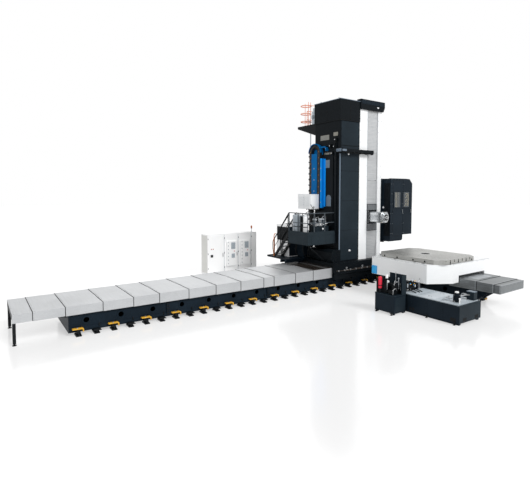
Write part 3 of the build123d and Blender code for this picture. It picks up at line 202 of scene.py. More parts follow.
NODE_FINISH = {
    casting_paint: ("bed_castings_outer", "bed_castings_inner", "table_bed", "table_slide",
                    "rear_console", "levelling_feet"),
    column_paint: ("column_body", "column_saddle", "saddle_skirts", "column_cap", "top_beam", "head_slide", "cable_arm",
                   "feed_drive_housing"),
    housing_paint: ("tool_magazine", "chip_tank", "hydraulic_tank", "hydraulic_panel",
                    "coolant_pumps"),
    white_paint: ("guide_pillars", "table_guard", "terminal_box", "spindle_chiller"),
    cabinet_paint: ("control_cabinets", "cabinet_coolers", "signal_lamp"),
    way_steel: ("guideways",),
    cover_steel: ("left_way_covers", "right_way_covers"),
    black_paint: ("cover_end_stands", "access_ladder", "platform_stair", "top_platform",
                  "accumulators", "anchor_brackets"),
    skirt_paint: ("service_platform",),
    rail_paint: ("platform_railing",),
    apron_steel: ("apron_fixed_plates", "apron_head_plates", "apron_upper_plate", "apron_lower_plate_1",
                  "apron_lower_plate_2", "apron_lower_plate_3"),
    ground_steel: ("ram", "milling_spindle", "boring_spindle"),
    planed_iron: ("table_plate",),
    dark_steel: ("table_covers_fixed", "table_cover_near", "table_cover_far", "table_covers_moving"),
    red_paint: ("ladder_cage",),
    blue_paint: ("cable_channels",),
    polyamide: ("energy_chain",),
    smoked_window: ("magazine_windows",),
    grille_plastic: ("lift_motor", "tank_lid"),
    grey_paint: ("gas_cylinders",),
    slate_paint: ("power_pack",),
}
# Material slot names listed for each finish, and the usual slot of each finish looked up from them
SLOT_FINISHES = {
    "way_steel": (black_oxide, zinc, painted_reflection_steel),
    "cast_paint_dark": (casting_paint,),
    "chain_nylon": (rubber, polyamide, copper_clip),
    "bracket_paint_yellow": (yellow_paint,),
    "column_paint_black": (black_paint, brown_hose, pale_slate_and_highlight, column_paint, head_paint),
    "cover_stainless": (cover_steel,),
    "magazine_paint_dark": (slate_paint, housing_paint),
    "pillar_paint_white": (white_paint, cabinet_paint, cabinet_side_shade),
    "unit_paint_grey": (label_plate, mid_grey_paint, grey_paint, gold_anodised_and_glint, grille_plastic),
    "ram_steel": (bright_steel_and_highlight, ground_steel),
    "channel_paint_blue": (bright_blue_paint, blue_paint, light_blue_paint),
    "frame_paint_black": (skirt_paint, rail_paint),
    "cage_paint_red": (red_paint, orange_paint, signal_red, amber_plastic),
    "cover_dark_steel": (dark_steel, pale_steel),
}
USUAL_SLOT = {finish: slot for slot, finishes in SLOT_FINISHES.items() for finish in finishes}
for made, names in NODE_FINISH.items():
    for name in names:
        node_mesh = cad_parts[name].data
        node_mesh.materials.clear()
        node_mesh.materials.append(made)


# Shapes: a form is (points, corner numbers of all faces in one row, corners per face)
def loft(rings):
    """Closed surface through equal rings of points: point (i, j) is rings[i][j]; four-sided faces join each
    ring to the next one, and one face closes each end."""
    rings = np.asarray(rings, float)
    count, size = rings.shape[:2]
    i, j = np.meshgrid(np.arange(count - 1), np.arange(size), indexing="ij")
    k = (j + 1) % size
    quads = np.stack([i * size + j, i * size + k, (i + 1) * size + k, (i + 1) * size + j], -1).reshape(-1)
    ends = np.concatenate([np.arange(size)[::-1], np.arange(size) + (count - 1) * size])
    return rings.reshape(-1, 3), np.concatenate([quads, ends]), np.array([4] * ((count - 1) * size) + [size] * 2)


def joined(*forms):
    """All forms as one: points stacked, and corner numbers moved on by the points before them."""
    starts = np.cumsum([0] + [len(form[0]) for form in forms[:-1]])
    return (np.concatenate([form[0] for form in forms]),
            np.concatenate([form[1] + start for form, start in zip(forms, starts)]),
            np.concatenate([form[2] for form in forms]))


def copies(form, places, turns=None):
    """The form at every place: each point turned about the upright axis by that copy's angle, then moved."""
    points, corners, sizes = form
    places = np.asarray(places, float).reshape(-1, 3)
    angles = np.zeros(len(places)) if turns is None else np.asarray(turns, float)
    c, s = np.cos(angles)[:, None], np.sin(angles)[:, None]
    x, y, z = points.T[:, None, :]
    spun = np.stack([c * x - s * y, s * x + c * y, np.broadcast_to(z, (len(places), len(points)))], -1)
    numbers = corners[None] + len(points) * np.arange(len(places))[:, None]
    return (spun + places[:, None]).reshape(-1, 3), numbers.reshape(-1), np.tile(sizes, len(places))


def turned_axes(form, axis):
    """The form with its upright axis laid along x or y instead: coordinates change places in a ring."""
    points, corners, sizes = form
    order = {"x": (2, 0, 1), "y": (1, 2, 0)}[axis]
    return points[:, order], corners, sizes


def slab(x0, x1, y0, y1, z0, z1, round_by=0.0, edge=0.004):
    """Block between two corners: a rounded rectangle carried up z, smaller by the edge at both ends."""
    corner = max(round_by, edge * 1.01)
    quarter = np.linspace(0, np.pi / 2, 4 if round_by else 2)
    angles = np.concatenate([quarter + turn * np.pi / 2 for turn in range(4)])
    side = np.repeat([[1, 1], [-1, 1], [-1, -1], [1, -1]], len(quarter), axis=0)
    rings = []
    for z, inset in ((z0, edge), (z0 + edge, 0), (z1 - edge, 0), (z1, edge)):
        half = np.array([(x1 - x0) / 2, (y1 - y0) / 2]) - corner
        reach = corner - inset
        flat = side * half + reach * np.stack([np.cos(angles), np.sin(angles)], -1)
        rings.append(np.column_stack([flat + [(x0 + x1) / 2, (y0 + y1) / 2], np.full(len(flat), z)]))
    return loft(rings)


def turning(profile, sides=20):
    """Solid of revolution: each (radius, height) pair of the profile becomes a circle about the upright axis."""
    angles = np.arange(sides) * 2 * np.pi / sides
    return loft([np.stack([r * np.cos(angles), r * np.sin(angles), np.full(sides, float(h))], -1)
                 for r, h in profile])


def moved(form, offset):
    """The form moved by an offset."""
    return form[0] + np.asarray(offset, float), form[1], form[2]


def pipe(route, radius, sides=10, bend=0.06):
    """Tube along a route: each corner becomes an arc, and a circle square to the path is carried along it."""
    route = np.asarray(route, float)
    path = [route[0]]
    for before, corner, after in zip(route, route[1:], route[2:]):
        a, b = before - corner, after - corner
        reach = min(bend, np.linalg.norm(a) / 2, np.linalg.norm(b) / 2)
        start, end = corner + a / np.linalg.norm(a) * reach, corner + b / np.linalg.norm(b) * reach
        for t in np.linspace(0, 1, 6):
            path.append((1 - t) ** 2 * start + 2 * t * (1 - t) * corner + t * t * end)
    path.append(route[-1])
    path = np.array(path)
    along = np.gradient(path, axis=0)
    along /= np.linalg.norm(along, axis=1)[:, None]
    side = np.cross(along[0], [0.31, 0.17, 0.93])
    angles = np.arange(sides) * 2 * np.pi / sides
    rings = []
    for point, direction in zip(path, along):
        side = side - direction * np.dot(side, direction)
        side = side / np.linalg.norm(side)
        other = np.cross(direction, side)
        rings.append(point + radius * (np.cos(angles)[:, None] * side + np.sin(angles)[:, None] * other))
    return loft(rings)


def piece(name, form, finish, slot=None, body="machine", smooth=35):
    """Makes one object of a form, faces outwards, riding on a body, with its finish; the slot is not used."""
    points, corners, sizes = form
    mesh = bpy.data.meshes.new(name)
    mesh.vertices.add(len(points))
    mesh.vertices.foreach_set("co", np.asarray(points, np.float32).reshape(-1))
    mesh.loops.add(len(corners))
    mesh.loops.foreach_set("vertex_index", np.asarray(corners, np.int32))
    mesh.polygons.add(len(sizes))
    mesh.polygons.foreach_set("loop_start", np.concatenate([[0], np.cumsum(sizes)[:-1]]).astype(np.int32))
    mesh.update(calc_edges=True)
    mesh.validate()
    shell = bmesh.new()
    shell.from_mesh(mesh)
    bmesh.ops.recalc_face_normals(shell, faces=shell.faces)
    shell.to_mesh(mesh)
    shell.free()
    mesh.shade_smooth()
    mesh.set_sharp_from_angle(angle=math.radians(smooth))
    mesh.materials.append(finish)
    made = bpy.data.objects.new(name, mesh)
    bpy.context.collection.objects.link(made)
    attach(made, body)
    slot = slot or USUAL_SLOT[finish]
    return made


def hex_screw(size):
    """Hexagon head on a washer, for a screw of that diameter, standing on z = 0."""
    return joined(turning([(size * 1.1, 0), (size * 1.1, size * 0.14)], 16),
                  turning([(size * 0.86, size * 0.14), (size * 0.9, size * 0.2), (size * 0.9, size * 0.7),
                           (size * 0.74, size * 0.8)], 6))


def slabs(edge, *boxes):
    """Blocks that share an edge, each given by its six limits."""
    return joined(*[slab(*box, edge=edge) for box in boxes])


def screws(size, way, places):
    """Socket screws of one size that all face one way."""
    return copies(facing(socket_screw(size), way), places)


def socket_screw(size):
    """Cylinder head with a hexagon socket sunk in it, standing on z = 0."""
    return turning([(size * 0.75, 0), (size * 0.75, size * 0.85), (size * 0.66, size), (size * 0.42, size),
                    (size * 0.36, size * 0.45)], 12)


def facing(form, way):
    """The form with its upright axis along -y, +y, -x, +x or +z, its foot still at the origin."""
    points, corners, sizes = form
    x, y, z = points.T
    turned = {"-y": (x, -z, y), "+y": (x, z, y), "-x": (-z, x, y), "+x": (z, x, y), "+z": (x, y, z)}[way]
    return np.stack(turned, -1), corners, sizes


def grid(*ranges):
    """All combinations of the values in the ranges, as rows."""
    return np.array(np.meshgrid(*ranges, indexing="ij")).reshape(len(ranges), -1).T


def louvres(x0, x1, y, z0, z1, count, depth=0.02):
    """Slats across a grille that faces -y: each is a thin leaf that leans outwards at its lower edge."""
    pitch = (z1 - z0) / count
    leaf = np.array([(0, 0), (-depth, -pitch * 0.45), (-depth - 0.004, -pitch * 0.42), (-0.004, 0.006)])
    rings = [np.column_stack([np.full(4, x), leaf]) for x in (x0, x1)]
    return copies(loft(rings), [(0, y, z0 + (i + 0.7) * pitch) for i in range(count)])


# Long bed: places of castings, feet and cover seams, in metres, as in the source of the solids
FOOT_PITCH = 0.616
BED_HALF = 1.12
LEDGE_HALF = 1.17
JOINTS = (-15.708, -12.012, -7.084, -2.156, 2.772)
COVER_SEAMS = (-17.4, -16.79, -15.78, -14.52, -13.4, -12.38, -11.13, -9.88, -8.64, -7.41, -6.83, -5.55, -4.42)
COVER_COUNT = len(COVER_SEAMS)
COVER_STEP = 0.009
STACK_ENDS = [1.55 + 0.9 + (COVER_COUNT - 1 - n) * 0.095 for n in range(COVER_COUNT)]
SIDES = (-1, 1)
# Faces, tops and middle lines of the other units, in metres, as in the solids
COLUMN_LEFT = -2.52
SPINDLE_Z = 3.72
RAM_FRONT = -2.05
MAGAZINE_FRONT = -1.75
DECK_TOP = 2.97
TABLE_Y = -4.63
TABLE_TOP = 2.05
TABLE_BED_X = 0.83
LID_TOP = 0.78


def sided(form, places):
    """Copies of a form on both long sides: it faces outwards at each (x, half width, z)."""
    parts = []
    for way, side in zip(("-y", "+y"), SIDES):
        spots = np.array(places, float) * [1, side, 1]
        parts.append(copies(facing(form, way), spots))
    return joined(*parts)


def rim(half, top, drop, thick, x0, x1):
    """Strip bent over a cover: an open box outline in y and z, thick at every side, carried from x0 to x1."""
    y = half + thick
    outline = np.array([(-y, top - drop), (-y, top + thick), (y, top + thick), (y, top - drop),
                        (half - 0.001, top - drop), (half - 0.001, top - 0.001), (-half + 0.001, top - 0.001),
                        (-half + 0.001, top - drop)])
    return loft([np.column_stack([np.full(8, x), outline]) for x in (x0, x1)])


def cover_section(n):
    """Half width, top and drop of the long bed's cover section n, each a step larger than the one it slides over."""
    return 1.22 + n * COVER_STEP, 1.06 + n * COVER_STEP, 0.29 + 2 * n * COVER_STEP


# Hexagon screws in two columns down the flanges at each joint of the castings
flange_spots = [(x + step, LEDGE_HALF, z) for x in JOINTS[1:-1] for step in (-0.031, 0.031)
                for z in np.linspace(0.2, 0.74, 6)]
flange_spots += [(JOINTS[0] + 0.031, LEDGE_HALF, z) for z in np.linspace(0.2, 0.74, 6)]
piece("bed_flange_screws", sided(hex_screw(0.026), flange_spots), black_oxide, slot="cast_paint_dark")

# A raised machined rib under the guideways, and a cast bead round each cored hole
rib = slabs(0.005,
            *[(x0 + 0.06, x1 - 0.06, *sorted((side * BED_HALF, side * (BED_HALF + 0.022))), 0.79, 0.845)
              for x0, x1 in zip(JOINTS, JOINTS[1:]) for side in SIDES])
piece("bed_side_ribs", rib, casting_paint)
hole_spots = [(JOINTS[0] + (n + 0.5) * 2 * FOOT_PITCH, BED_HALF, 0.49) for n in range(15)]
bead = turning(
    [(0.1, -0.05), (0.1, 0.01), (0.104, 0.014), (0.16, 0.014), (0.168, 0.0), (0.149, -0.001), (0.149, -0.05)], 28)
piece("bed_hole_beads", sided(bead, hole_spots), casting_paint)
# Black disc at the back of each cored hole: painted shade inside the hole
hole_shade_disc = turning([(0.147, -0.17), (0.147, -0.165), (0.0005, -0.162)], 28)
piece("bed_hole_shade_discs", sided(hole_shade_disc, hole_spots), rubber, slot="cast_paint_dark")
foot_numbers = range(-25, 5)
# Levelling screws with lock nuts that stand on the ledge above each foot
levelling = joined(turning([(0.019, 0), (0.019, 0.1), (0.015, 0.106)], 10), hex_screw(0.034))
piece("levelling_screws",
      copies(levelling, [(n * FOOT_PITCH + 0.13, side * 1.147, 0.21) for n in foot_numbers for side in SIDES]),
      black_oxide)
# Anchor screws with washers in the brackets
piece("anchor_screws", copies(
    joined(hex_screw(0.036), turning([(0.016, 0.02), (0.016, 0.075), (0.012, 0.08)], 10)),
    [(n * FOOT_PITCH, side * 1.3403, 0.046) for n in foot_numbers for side in SIDES]), black_oxide)
# Yellow clamps at every second foot: a bar on edge with one end turned down, held to the ledge by a block
clamp_arc = np.linspace(0, np.pi / 2, 6)
clamp_line = np.array(
    [(-0.2, 0.275), (0.13, 0.275)]
    + [(0.13 + 0.05 * math.sin(a), 0.225 + 0.05 * math.cos(a)) for a in clamp_arc[1:]]
    + [(0.18, 0.14), (0.145, 0.14), (0.145, 0.215), (0.12, 0.24), (-0.2, 0.24)])
clamp = loft(
    [np.column_stack([clamp_line[:, 0], np.full(len(clamp_line), y), clamp_line[:, 1]]) for y in (-1.345, -1.21)])
clamp_places = [(n * FOOT_PITCH, 0, 0) for n in foot_numbers if n % 2]
clamp_row = joined(
    copies(clamp, clamp_places), copies(clamp, [(x, 0, 0) for x, _, _ in clamp_places], [np.pi] * len(clamp_places)))
piece("bed_clamps", clamp_row, yellow_paint)
block = slab(-0.06, 0.06, -1.34, -1.175, 0.096, 0.238, edge=0.006)
piece("clamp_blocks", joined(copies(block, clamp_places), copies(block, clamp_places, [np.pi] * len(clamp_places))),
      black_paint, slot="cast_paint_dark")
piece("clamp_screws", copies(
    hex_screw(0.03), [(n * FOOT_PITCH - 0.03, side * 1.275, 0.274) for n in foot_numbers if n % 2 for side in SIDES]),
      zinc)
# Dark jack wedges at the feet between, low and long, sticking out from under the ledge
wedge_line = np.array([(-0.15, 0.1), (-0.11, 0.155), (0.11, 0.155), (0.17, 0.105), (0.15, 0.096), (-0.15, 0.096)])
wedge = loft([np.column_stack([wedge_line[:, 0], np.full(6, y), wedge_line[:, 1]]) for y in (-1.37, -1.175)])
wedge_places = [(n * FOOT_PITCH, 0, 0) for n in foot_numbers if n % 2 == 0]
piece("jack_wedges", joined(copies(wedge, wedge_places), copies(wedge, wedge_places, [np.pi] * len(wedge_places))),
      black_paint, slot="cast_paint_dark")

# Covers of the long bed: wiper lip at each seam, a rolled crease before it, and screws beside it
lips, creases, cover_screws = [], [], []
for n, seam in enumerate(COVER_SEAMS):
    half, top, drop = cover_section(n)
    if n:
        lips.append(rim(half - COVER_STEP, top - COVER_STEP, drop - 0.02, 0.0085, seam - 0.022, seam - 0.002))
    creases.append(rim(half, top, drop - 0.01, 0.0025, seam + 0.002, seam + 0.03))
    cover_screws += [(seam + 0.05, side * y, top) for y in (0.3, 0.75, 1.12) for side in SIDES]
for n, end in enumerate(STACK_ENDS):
    half, top, drop = cover_section(n)
    if n < COVER_COUNT - 1:
        creases.append(rim(half, top, drop - 0.01, 0.0025, end - 0.03, end - 0.002))
    if n:
        lips.append(rim(half - COVER_STEP, top - COVER_STEP, drop - 0.02, 0.0085, end + 0.002, end + 0.02))
piece("cover_wiper_lips", joined(*lips), rubber, slot="cover_stainless")
piece("cover_rolled_edges", joined(*creases), cover_steel)
piece("cover_screws", copies(socket_screw(0.012), [(x, y, z + 0.0025) for x, y, z in cover_screws]), zinc)
# Shallow stiffening ridge along the middle of each section, of which the roof falls to both sides
ridges = []
for n, seam in enumerate(COVER_SEAMS):
    end = (COVER_SEAMS + (-3.16,))[n + 1]
    top = cover_section(n)[1]
    outline = np.array([(-0.9, top - 0.001), (0, top + 0.012), (0.9, top - 0.001)])
    ridges.append(loft([np.column_stack([np.full(3, x), outline]) for x in (seam + 0.04, end - 0.03)]))
piece("cover_roof_ridges", joined(*ridges), cover_steel)
# Dark brown patch where the last section runs under the saddle: painted reflection and shade of the dark platform on
# the polished steel, with a pale strip along its edge
top = cover_section(COVER_COUNT - 1)[1]
patch_line = np.array(
    [(-1.315, top + 0.003), (-0.9, top + 0.003), (0, top + 0.0145), (0.9, top + 0.003), (1.315, top + 0.003),
     (1.315, top + 0.001), (-1.315, top + 0.001)])
piece("cover_painted_reflection_patch", loft([np.column_stack([np.full(7, x), patch_line]) for x in (-4.37, -3.2)]), painted_reflection_steel)
piece("cover_patch_pale_strip", loft([np.column_stack([np.full(7, x), patch_line + [0, 0.003]]) for x in (-3.56, -3.4)]),
      zinc)
piece("saddle_wiper_rail", slab(-3.2, -3.155, -1.3, 1.3, top + 0.014, top + 0.075, edge=0.006), rubber,
      slot="way_steel")
# Screw feet and diagonal braces of the cover stands
stand_feet = joined(
    turning([(0.011, 0.02), (0.011, 0.14)], 8), moved(hex_screw(0.02), (0, 0, 0.035)),
    moved(hex_screw(0.02), (0, 0, 0.085)))
piece("stand_screw_feet",
      copies(stand_feet, [(x, side * 1.116, 0) for x in (-17.345, STACK_ENDS[0] - 0.055) for side in SIDES]), zinc)
braces = joined(
    *[pipe([(x, side * 1.1, 0.55), (x, side * 0.72, 0.9)], 0.016, 6) for x in (-17.345, STACK_ENDS[0] - 0.055)
      for side in SIDES])
piece("stand_braces", braces, black_paint, slot="frame_paint_black")

# Saddle: screws along the skirt, brown hoses with clips and oil manifolds on its ledge, wipers on the guideways
skirt_y = 1.5
piece("skirt_screws",
      sided(socket_screw(0.02), [(x, skirt_y, z) for x in np.arange(-3.05, 1.6, 0.31) for z in (1.33, 0.62)]),
      black_oxide, slot="column_paint_black")
hose_runs = [[(x0, -y, z + 0.02), (x0 + 0.2, -y, z), (x1 - 0.2, -y, z), (x1, -y, z + 0.03)]
             for x0, x1, y, z in ((-3.05, -0.85, 1.535, 1.0), (-2.6, 0.3, 1.56, 0.985), (-1.7, 1.2, 1.528, 1.025))]
piece("ledge_hoses", joined(*[pipe(run, 0.012, 8) for run in hose_runs]), brown_hose)
piece("ledge_hose_clips",
      slabs(0.006, *[(x - 0.025, x + 0.025, -1.585, -1.505, 0.975, 1.05) for x in np.arange(-2.9, 1.3, 0.43)]), zinc)
manifold = [slab(x - 0.05, x + 0.05, -1.56, -1.5, 1.08, 1.16, edge=0.008) for x in (-2.3, -1.1, 0.2)]
lines = [pipe([(x, -1.52, 1.08), (x, -1.53, 1.04), (x + 0.12, -1.53, 1.02)], 0.007, 6)
         for x in (-2.32, -2.28, -1.12, -1.08, 0.18, 0.22)]
piece("oil_manifolds", joined(*manifold, *lines), zinc)
housings = slabs(0.008, *[(1.55, 1.62, y - 0.15, y + 0.15, 0.864, 1.0) for y in (-0.92, -0.32, 0.32, 0.92)])
piece("saddle_wipers", housings, rubber, slot="column_paint_black")
# Row of cap screws along the saddle's top edge
piece("saddle_top_screws", copies(
    socket_screw(0.024), [(x, y, 1.4) for x in np.arange(-3.0, 1.5, 0.3) for y in (-1.36, 1.4) if x > -1.1 or y < 0]),
      black_oxide, slot="column_paint_black")


def frame_of(x0, x1, z0, z1, width, thick, y):
    """Four bars round an opening that faces -y: two posts and two rails between them, thick in y."""
    return slabs(
        0.003, (x0, x0 + width, y - thick, y, z0, z1), (x1 - width, x1, y - thick, y, z0, z1),
        (x0 + width, x1 - width, y - thick, y, z0, z0 + width),
        (x0 + width, x1 - width, y - thick, y, z1 - width, z1))


# Column: front plates with a dark gap between them and their screws, a pale slate strip down its near corner as a
# painted highlight on the chamfer, then the labels, vents, covers, cable trunks, junction boxes and conduit of its left
# face, and plates on its back
plates = slabs(
    0.003,
    *[(-2.44, -1.12, -1.206, -1.199, z0, z1)
      for z0, z1 in ((1.46, 3.06), (3.075, 4.63), (4.645, 6.2), (6.215, 7.52), (7.56, 8.83))])
piece("column_front_plates", plates, slate_paint, slot="column_paint_black")
screw_rows = [(x, -1.206, z) for x in (-2.41, -1.15) for z in np.arange(1.55, 8.8, 0.36)]
piece("column_plate_screws", screws(0.02, "-y", screw_rows), black_oxide, slot="column_paint_black")
# Pale strip on the chamfered near corner, from 1.5 m to 7.12 m: a painted highlight
strip = loft([[(-2.523, -1.156, z), (-2.477, -1.203, z), (-2.472, -1.198, z), (-2.516, -1.15, z)] for z in (1.5, 7.12)])
piece("column_corner_highlight_strip", strip, pale_slate_and_highlight)
piece("column_pillar_joint", slab(-1.115, -1.082, -1.212, -1.195, 1.42, 8.85), rubber, slot="column_paint_black")
knob = turning([(0.055, 0), (0.055, 0.012), (0.042, 0.02), (0.042, 0.05), (0.03, 0.062), (0.001, 0.066)], 18)
piece("column_lift_plugs", copies(facing(knob, "-y"), [(-1.918, -1.2, 7.106), (-1.78, -1.206, 1.955)]), white_paint,
      slot="unit_paint_grey")
left_plates = slabs(
    0.003,
    *[(-2.532, -2.519, y0, y1, z0, z1)
      for y0, y1, z0, z1 in (
          (-0.372, 0.305, 7.9, 8.17), (-1.033, -0.703, 8.056, 8.25), (-0.512, -0.034, 7.12, 7.22))])
piece("column_left_labels", left_plates, label_plate)
ribs = slabs(0.002, *[(-2.54, -2.53, y, y + 0.012, 7.92, 8.15) for y in np.arange(-0.33, 0.29, 0.085)])
piece("column_left_vent_ribs", ribs, mid_grey_paint)
cover_round = facing(turning([(0.19, 0), (0.19, 0.02), (0.17, 0.028), (0.001, 0.03)], 24), "-x")
covers = joined(
    moved(cover_round, (COLUMN_LEFT, -0.37, 4.75)),
    slab(-2.545, COLUMN_LEFT, -0.55, -0.19, 4.33, 4.75, round_by=0.01),
    slab(-2.535, COLUMN_LEFT, -0.43, -0.12, 6.4, 6.83))
piece("column_access_covers", covers, pale_slate_and_highlight)
cable_trunk = joined(
    slab(-2.6, COLUMN_LEFT, -0.98, -0.86, 3.0, 7.7, edge=0.006),
    slab(-2.57, COLUMN_LEFT, -0.72, -0.66, 3.0, 7.0, edge=0.005),
    *[slab(-2.61, COLUMN_LEFT, -1.0, -0.84, z, z + 0.04) for z in np.arange(3.3, 7.6, 0.55)])
piece("column_cable_trunks", cable_trunk, column_paint)
valves = joined(
    *[slab(-2.66, COLUMN_LEFT, y, y + 0.09, z, z + 0.2, edge=0.01)
      for y, z in ((-0.98, 7.75), (-0.9, 7.4), (-0.6, 7.45), (-0.3, 7.35), (-0.75, 7.05), (-1.0, 6.8))],
    *[pipe([(-2.56, y, z), (-2.62, y, z), (-2.62, y + 0.1, z - 0.35), (-2.56, y + 0.1, z - 0.4)], 0.014, 8)
      for y, z in ((-0.95, 7.75), (-0.58, 7.45), (-0.28, 7.35))])
piece("column_junctions", valves, black_paint)
piece("column_junction_glands", copies(
    facing(turning([(0.03, 0), (0.03, 0.02), (0.022, 0.03)], 10), "-x"),
    [(-2.66, y, z) for y, z in ((-0.935, 7.85), (-0.855, 7.5), (-0.555, 7.55), (-0.255, 7.45), (-0.705, 7.15))]),
      zinc)
piece("column_conduit", joined(
    pipe([(-2.43, 1.25, 8.85), (-2.43, 1.25, 7.5), (-2.43, 1.05, 7.25), (-2.43, 0.76, 7.2)], 0.03, 10, 0.2),
    *[slab(-2.47, -2.39, 0.75, 1.29, z, z + 0.025) for z in (7.7, 8.5)]), grey_paint)
back_plates = slabs(
    0.003,
    *[(x0, x1, 0.749, 0.756, z0, z1) for x0, x1 in ((-1.1, -0.25), (-0.23, 0.62))
      for z0, z1 in ((1.5, 3.3), (3.32, 5.1), (5.12, 6.9), (6.92, 8.3))])
piece("column_back_plates", back_plates, slate_paint, slot="column_paint_black")
piece("column_back_screws",
      screws(0.02, "+y", [(x, 0.756, z) for x in (-1.06, -0.29, -0.19, 0.58) for z in np.arange(1.6, 8.3, 0.44)]),
      black_oxide, slot="column_paint_black")

# Cap: folded roof edge in pale slate as a painted highlight, panel seams, lifting eyes and a vent
roof_edge = slabs(0.004, (-2.575, -2.53, -1.25, 0.8, 9.935, 9.966), (-2.575, -1.09, -1.255, -1.225, 9.935, 9.966))
piece("cap_roof_edge_highlight", roof_edge, pale_slate_and_highlight)
piece("cap_panel_seams", joined(
    slab(-2.566, -2.558, -0.23, -0.21, 8.87, 9.93, edge=0.002),
    slab(-1.84, -1.82, -1.246, -1.238, 8.87, 9.93, edge=0.002),
    slab(-2.57, -1.09, -1.248, -1.236, 8.845, 8.87, edge=0.003),
    slab(-2.57, -2.556, -1.24, 0.79, 8.845, 8.87, edge=0.003)), rubber, slot="column_paint_black")
piece("cap_screws", joined(
    screws(0.018, "-y",
           [(x, -1.24, z) for x in (-2.5, -2.18, -1.88, -1.78, -1.46, -1.14) for z in (8.93, 9.4, 9.87)]),
    screws(0.018, "-x", [(-2.56, y, z) for y in (-1.18, -0.7, -0.28, -0.16, 0.3, 0.73) for z in (8.93, 9.4, 9.87)])),
      black_oxide, slot="column_paint_black")
ring = np.linspace(0, 2 * np.pi, 17)
eye = joined(
    pipe([(0.055 * math.sin(a), 0, 0.075 - 0.055 * math.cos(a)) for a in ring], 0.014, 8, 0.001),
    turning([(0.04, 0), (0.04, 0.012), (0.02, 0.03)], 12))
piece("cap_lifting_eyes", copies(eye, [(x, y, 9.955) for x in (-2.3, 0.45) for y in (-0.85, 0.55)]), zinc)
piece("cap_back_vent", slabs(
    0.002, *[(x0, x0 + 0.5, 0.786, 0.8, z, z + 0.014) for x0 in (-0.9, -0.2) for z in np.arange(9.15, 9.7, 0.045)]),
      black_paint)

# White pillars: screws along their edges, a grey seal beside the apron, and the beam's cap plate
pillar_spots = [(x, -1.2, z) for x in (-1.03, -0.5, 0.43, 0.66) for z in np.arange(1.6, 9.5, 0.62)]
piece("pillar_screws", screws(0.017, "-y", pillar_spots), zinc)
piece("apron_edge_seals",
      slabs(0.003, *[(x0, x1, -1.208, -1.199, 1.402, 9.556) for x0, x1 in ((-0.452, -0.438), (0.378, 0.392))]),
      mid_grey_paint)
piece("beam_front_plate", joined(
    slab(-1.05, 0.8, -1.297, -1.289, 9.86, 10.07, edge=0.003),
    slab(-1.05, 0.8, -1.294, -1.289, 9.845, 9.856, edge=0.001)), housing_paint, slot="column_paint_black")
piece("beam_lamp", slab(0.2, 0.33, -1.315, -1.29, 9.71, 9.775, edge=0.006), white_paint, slot="unit_paint_grey")
piece("beam_screws", screws(0.02, "-y", [(x, -1.297, z) for x in np.arange(-0.98, 0.8, 0.34) for z in (9.9, 10.03)]),
      black_oxide, slot="column_paint_black")


def slat_seams(bottom, top, layer):
    """Shadow lines in the steps of an apron plate: pitch about 75 mm, front of layer n at y = -1.172 + 0.013 n."""
    y = -1.172 + 0.013 * layer
    steps = np.linspace(bottom, top, round((top - bottom) / 0.075) + 1)[1:-1]
    return slabs(0.0005, *[(-0.44, 0.38, y + 0.0008, y + 0.004, z - 0.012, z - 0.0005) for z in steps])


piece("apron_seams_fixed", joined(slat_seams(7.26, 9.558, 0), slat_seams(1.402, 2.33, 4)), mid_grey_paint,
      slot="apron_steel")
piece("apron_seams_upper", slat_seams(5.7105, 8.0105, 1), mid_grey_paint, slot="apron_steel", body="apron_upper")
piece("apron_seams_head", joined(slat_seams(4.161, 6.461, 2), slat_seams(2.349, 3.279, 0)), mid_grey_paint,
      slot="apron_steel", body="head")
for layer, bottom in ((1, 2.11175), (2, 1.8745), (3, 1.63725)):
    piece(f"apron_seams_lower_{layer}", slat_seams(bottom, bottom + 0.93, layer), mid_grey_paint, slot="apron_steel",
          body=f"apron_lower_{layer}")

# Head and apron: stop bars at the plates' ends, wiper round the ram, cover plates, screws and two pipes
bars = {"apron_bar_fixed": ("machine", 7.262, -1.1735), "apron_bar_upper": ("apron_upper", 5.7155, -1.1595)}
for name, (body, z, y) in bars.items():
    piece(name, slab(-0.42, 0.36, y - 0.004, y + 0.003, z, z + 0.035, edge=0.002), ground_steel, slot="apron_steel",
          body=body)
head_frame = frame_of(-0.34, 0.34, 3.38, 4.06, 0.045, 0.02, -1.215)
piece("ram_wiper_frame", head_frame, rubber, slot="way_steel", body="head")
piece("ram_wiper_screws", screws(
    0.014, "-y", [(x, -1.235, z) for x in (-0.3175, -0.16, 0, 0.16, 0.3175) for z in (3.4025, 4.0375)]
                 + [(x, -1.235, z) for x in (-0.3175, 0.3175) for z in (3.56, 3.72, 3.88)]), zinc, body="head")
piece("head_cover_plates",
      slabs(0.003, (-0.41, 0.35, -1.222, -1.214, 4.1, 4.4), (-0.41, 0.35, -1.222, -1.214, 2.98, 3.34)), head_paint,
      body="head")
piece("head_cover_screws",
      screws(0.016, "-y", [(x, -1.222, z) for x in (-0.38, -0.13, 0.1, 0.32) for z in (4.13, 4.37, 3.01, 3.31)]),
      zinc, body="head")
piece("head_pipes", joined(
    pipe([(-0.36, -1.225, 3.38), (-0.36, -1.24, 3.7), (-0.36, -1.225, 4.08)], 0.008, 6),
    pipe([(0.35, -1.225, 3.36), (0.35, -1.24, 3.6), (0.35, -1.225, 4.1)], 0.008, 6)), zinc, body="head")

